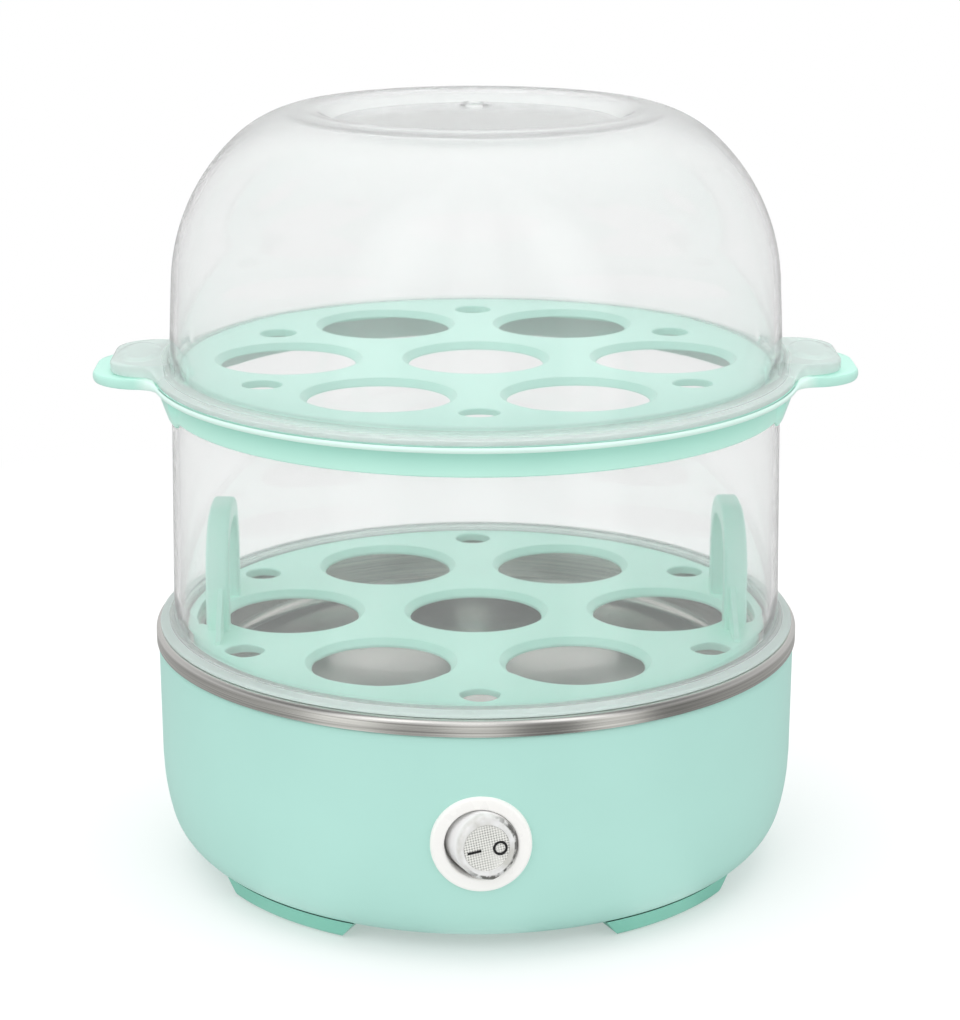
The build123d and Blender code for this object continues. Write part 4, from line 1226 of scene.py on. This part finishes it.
# What mirrors see of the studio: azimuth from the middle, 0 in front and growing to the right, the brightness
# at eye level there, and the brightness above
STRIPS = (
    (-180, 0.6, 0.72), (-125, 0.52, 0.45), (-80, 0.47, 0.15), (-54, 0.46, 0.13), (-47, 1.0, 0.9),
    (-33, 1.0, 1.4), (-25, 0.45, 1.2), (-12, 0.45, 0.6), (-6, 0.85, 1.0), (6, 0.85, 1.0),
    (12, 0.24, 0.35), (20, 0.2, 0.6), (27, 0.17, 1.2), (34, 1.0, 1.4), (46, 1.0, 1.0),
    (53, 0.2, 0.13), (80, 0.4, 0.15), (125, 0.5, 0.45), (180, 0.6, 0.72),
)
# The brightness that full red or green stands for
BRIGHTEST = 1.5


def surroundings(tree, place, matt):
    """Strength of the white studio: full for the camera, even for matt surfaces, upright strips for mirrors.

    The azimuth is the arc tangent of X over -Y. The strips are read off along it, from red at eye level to
    green above, and near the zenith they fade into a more even ceiling.
    """
    x, y, z = tree.add("SeparateXYZ", Vector=place).outputs
    azimuth = tree.math("ARCTAN2", x, tree.math("MULTIPLY", y, -1.0))
    strips = tree.add("ValToRGB", Fac=tree.math("MULTIPLY_ADD", azimuth, 0.5 / np.pi, 0.5))
    stops = strips.color_ramp.elements
    while len(stops) < len(STRIPS):
        stops.new(0.5)
    for stop, (angle, level, above) in zip(stops, STRIPS):
        stop.position = angle / 360 + 0.5
        stop.color = (level / BRIGHTEST, above / BRIGHTEST, 0, 1)
    tones = tree.add("SeparateColor", Color=strips.outputs["Color"]).outputs
    height = tree.math("MAXIMUM", z, 0.0)
    level = tree.blend(tree.ramp(height, 0, 1, 0, 0.5), tones[0], tones[1], "FLOAT")
    ceiling = tree.math("MULTIPLY_ADD", tones[1], 0.5, 0.25)
    bright = tree.blend(tree.ramp(height, 0, 1, 0.75, 0.95), tree.times(level, BRIGHTEST), ceiling, "FLOAT")
    path = tree.add("LightPath").outputs
    mirrored = tree.blend(path["Is Glossy Ray"], matt, bright, "FLOAT")
    seen = tree.math("MAXIMUM", path["Is Camera Ray"], path["Is Transmission Ray"])
    return tree.math("MAXIMUM", seen, mirrored)


def softbox(name, place, aim, width, height, power):
    """Rectangular lamp aimed at a point. Mirrors see the studio's strips in place of it."""
    lamp = bpy.data.lights.new(name, "AREA")
    lamp.shape = "RECTANGLE"
    lamp.size, lamp.size_y = width, height
    lamp.energy = power
    holder = bpy.data.objects.new(name, lamp)
    holder.location = place
    holder.rotation_euler = (Vector(aim) - Vector(place)).to_track_quat("-Z", "Y").to_euler()
    holder.visible_glossy = holder.visible_transmission = False
    bpy.context.scene.collection.objects.link(holder)


class COOKER_OT_stage(PieceOperator, bpy.types.Operator):
    """Set the floor, the world, the softboxes and the camera"""

    bl_idname = "cooker.stage"
    bl_label = "Stage"

    def execute(self, context):
        scene = context.scene
        scene.view_settings.view_transform = "Standard"
        self.floor(scene)
        self.world(scene)
        aim = (0, 0, 0.1)
        softbox("key_left", (-1.5, -1.4, 1.6), aim, 2.6, 2.2, 21)
        softbox("fill_right", (1.6, -1.3, 1.2), aim, 2.2, 2.2, 12)
        softbox("overhead", (0, 0.3, 2.0), aim, 2.6, 2.2, 27)
        self.camera(scene)
        return {"FINISHED"}

    def floor(self, scene):
        """White floor that glows like the backdrop, and more so the farther it is from the object."""
        half = 6.0
        corners = [(-half, -half, 0), (half, -half, 0), (half, half, 0), (-half, half, 0)]
        mesh = bpy.data.meshes.new("floor")
        mesh.from_pydata(corners, [], [(0, 1, 2, 3)])
        sheet = bpy.data.objects.new("floor", mesh)
        scene.collection.objects.link(sheet)
        f = Finish("floor_white").set(Roughness=0.9, Specular_IOR_Level=0.1)
        c = colours().floor
        f.feed("Base Color", f.blend(f.noise(3.0), shade(c, 0.995), shade(c, 1.0)))
        far = f.rise(f.vector("LENGTH", f.place)["Value"], 80, 420, 0.35, 1.0)
        glow = f.add("Emission", Color=WHITE, Strength=surroundings(f, f.place, 0.68))
        f.cover(f.math("MAXIMUM", far, f.add("LightPath").outputs["Is Glossy Ray"]), glow.outputs[0])
        mesh.materials.append(f.material)

    def world(self, scene):
        """White backdrop all round."""
        world = bpy.data.worlds.new("studio")
        world.use_nodes = True
        scene.world = world
        tree = Tree(world.node_tree)
        heading = tree.add("TexCoord").outputs["Generated"]
        background = tree.nodes["Background"].inputs
        tree.fill(background["Strength"], surroundings(tree, heading, 0.64))
        tree.fill(background["Color"], WHITE)

    def camera(self, scene):
        """Camera in front and above, turned about the vertical axis together with its place."""
        camera = bpy.data.cameras.new("camera")
        camera.lens, camera.sensor_width = 96.21, 36.0
        camera.clip_start = 0.01
        holder = bpy.data.objects.new("camera", camera)
        turn, down = np.radians(-0.9), 15.747
        holder.location = (*turned(0.001, -0.65433, turn), 0.27183)
        holder.rotation_euler = (np.radians(90 - down), 0, turn)
        scene.collection.objects.link(holder)
        scene.camera = holder


# ------------------------------------------------------------------ panel and registration


class COOKER_PT_panel(bpy.types.Panel):
    """Buttons for every group of pieces, and the sizes and colours behind them"""

    bl_idname = "COOKER_PT_panel"
    bl_label = "Egg cooker"
    bl_space_type = "VIEW_3D"
    bl_region_type = "UI"
    bl_category = "Egg cooker"

    def draw(self, context):
        column = self.layout.column()
        for operator in MAKERS:
            column.operator(operator.bl_idname, text=operator.bl_label)
        for group in (context.scene.cooker_sizes, context.scene.cooker_colours):
            for name in group.__annotations__:
                column.prop(group, name)


MAKERS = (
    COOKER_OT_stage,
    COOKER_OT_inner,
    COOKER_OT_base,
    COOKER_OT_fittings,
    COOKER_OT_rocker,
    COOKER_OT_pan,
    COOKER_OT_lower_tray,
    COOKER_OT_cover,
    COOKER_OT_upper_tray,
    COOKER_OT_lid,
)
CLASSES = (CookerSizes, CookerColours, *MAKERS, COOKER_PT_panel)


def register():
    """Make the classes known and give the scene its sizes and colours."""
    for cls in CLASSES:
        bpy.utils.register_class(cls)
    bpy.types.Scene.cooker_sizes = bpy.props.PointerProperty(type=CookerSizes)
    bpy.types.Scene.cooker_colours = bpy.props.PointerProperty(type=CookerColours)


def unregister():
    """Undo what register does, in the opposite order."""
    del bpy.types.Scene.cooker_colours
    del bpy.types.Scene.cooker_sizes
    for cls in reversed(CLASSES):
        bpy.utils.unregister_class(cls)


def main():
    """Make every piece in order."""
    register()
    for operator in MAKERS:
        group, name = operator.bl_idname.split(".")
        getattr(getattr(bpy.ops, group), name)()


if __name__ == "__main__":
    main()
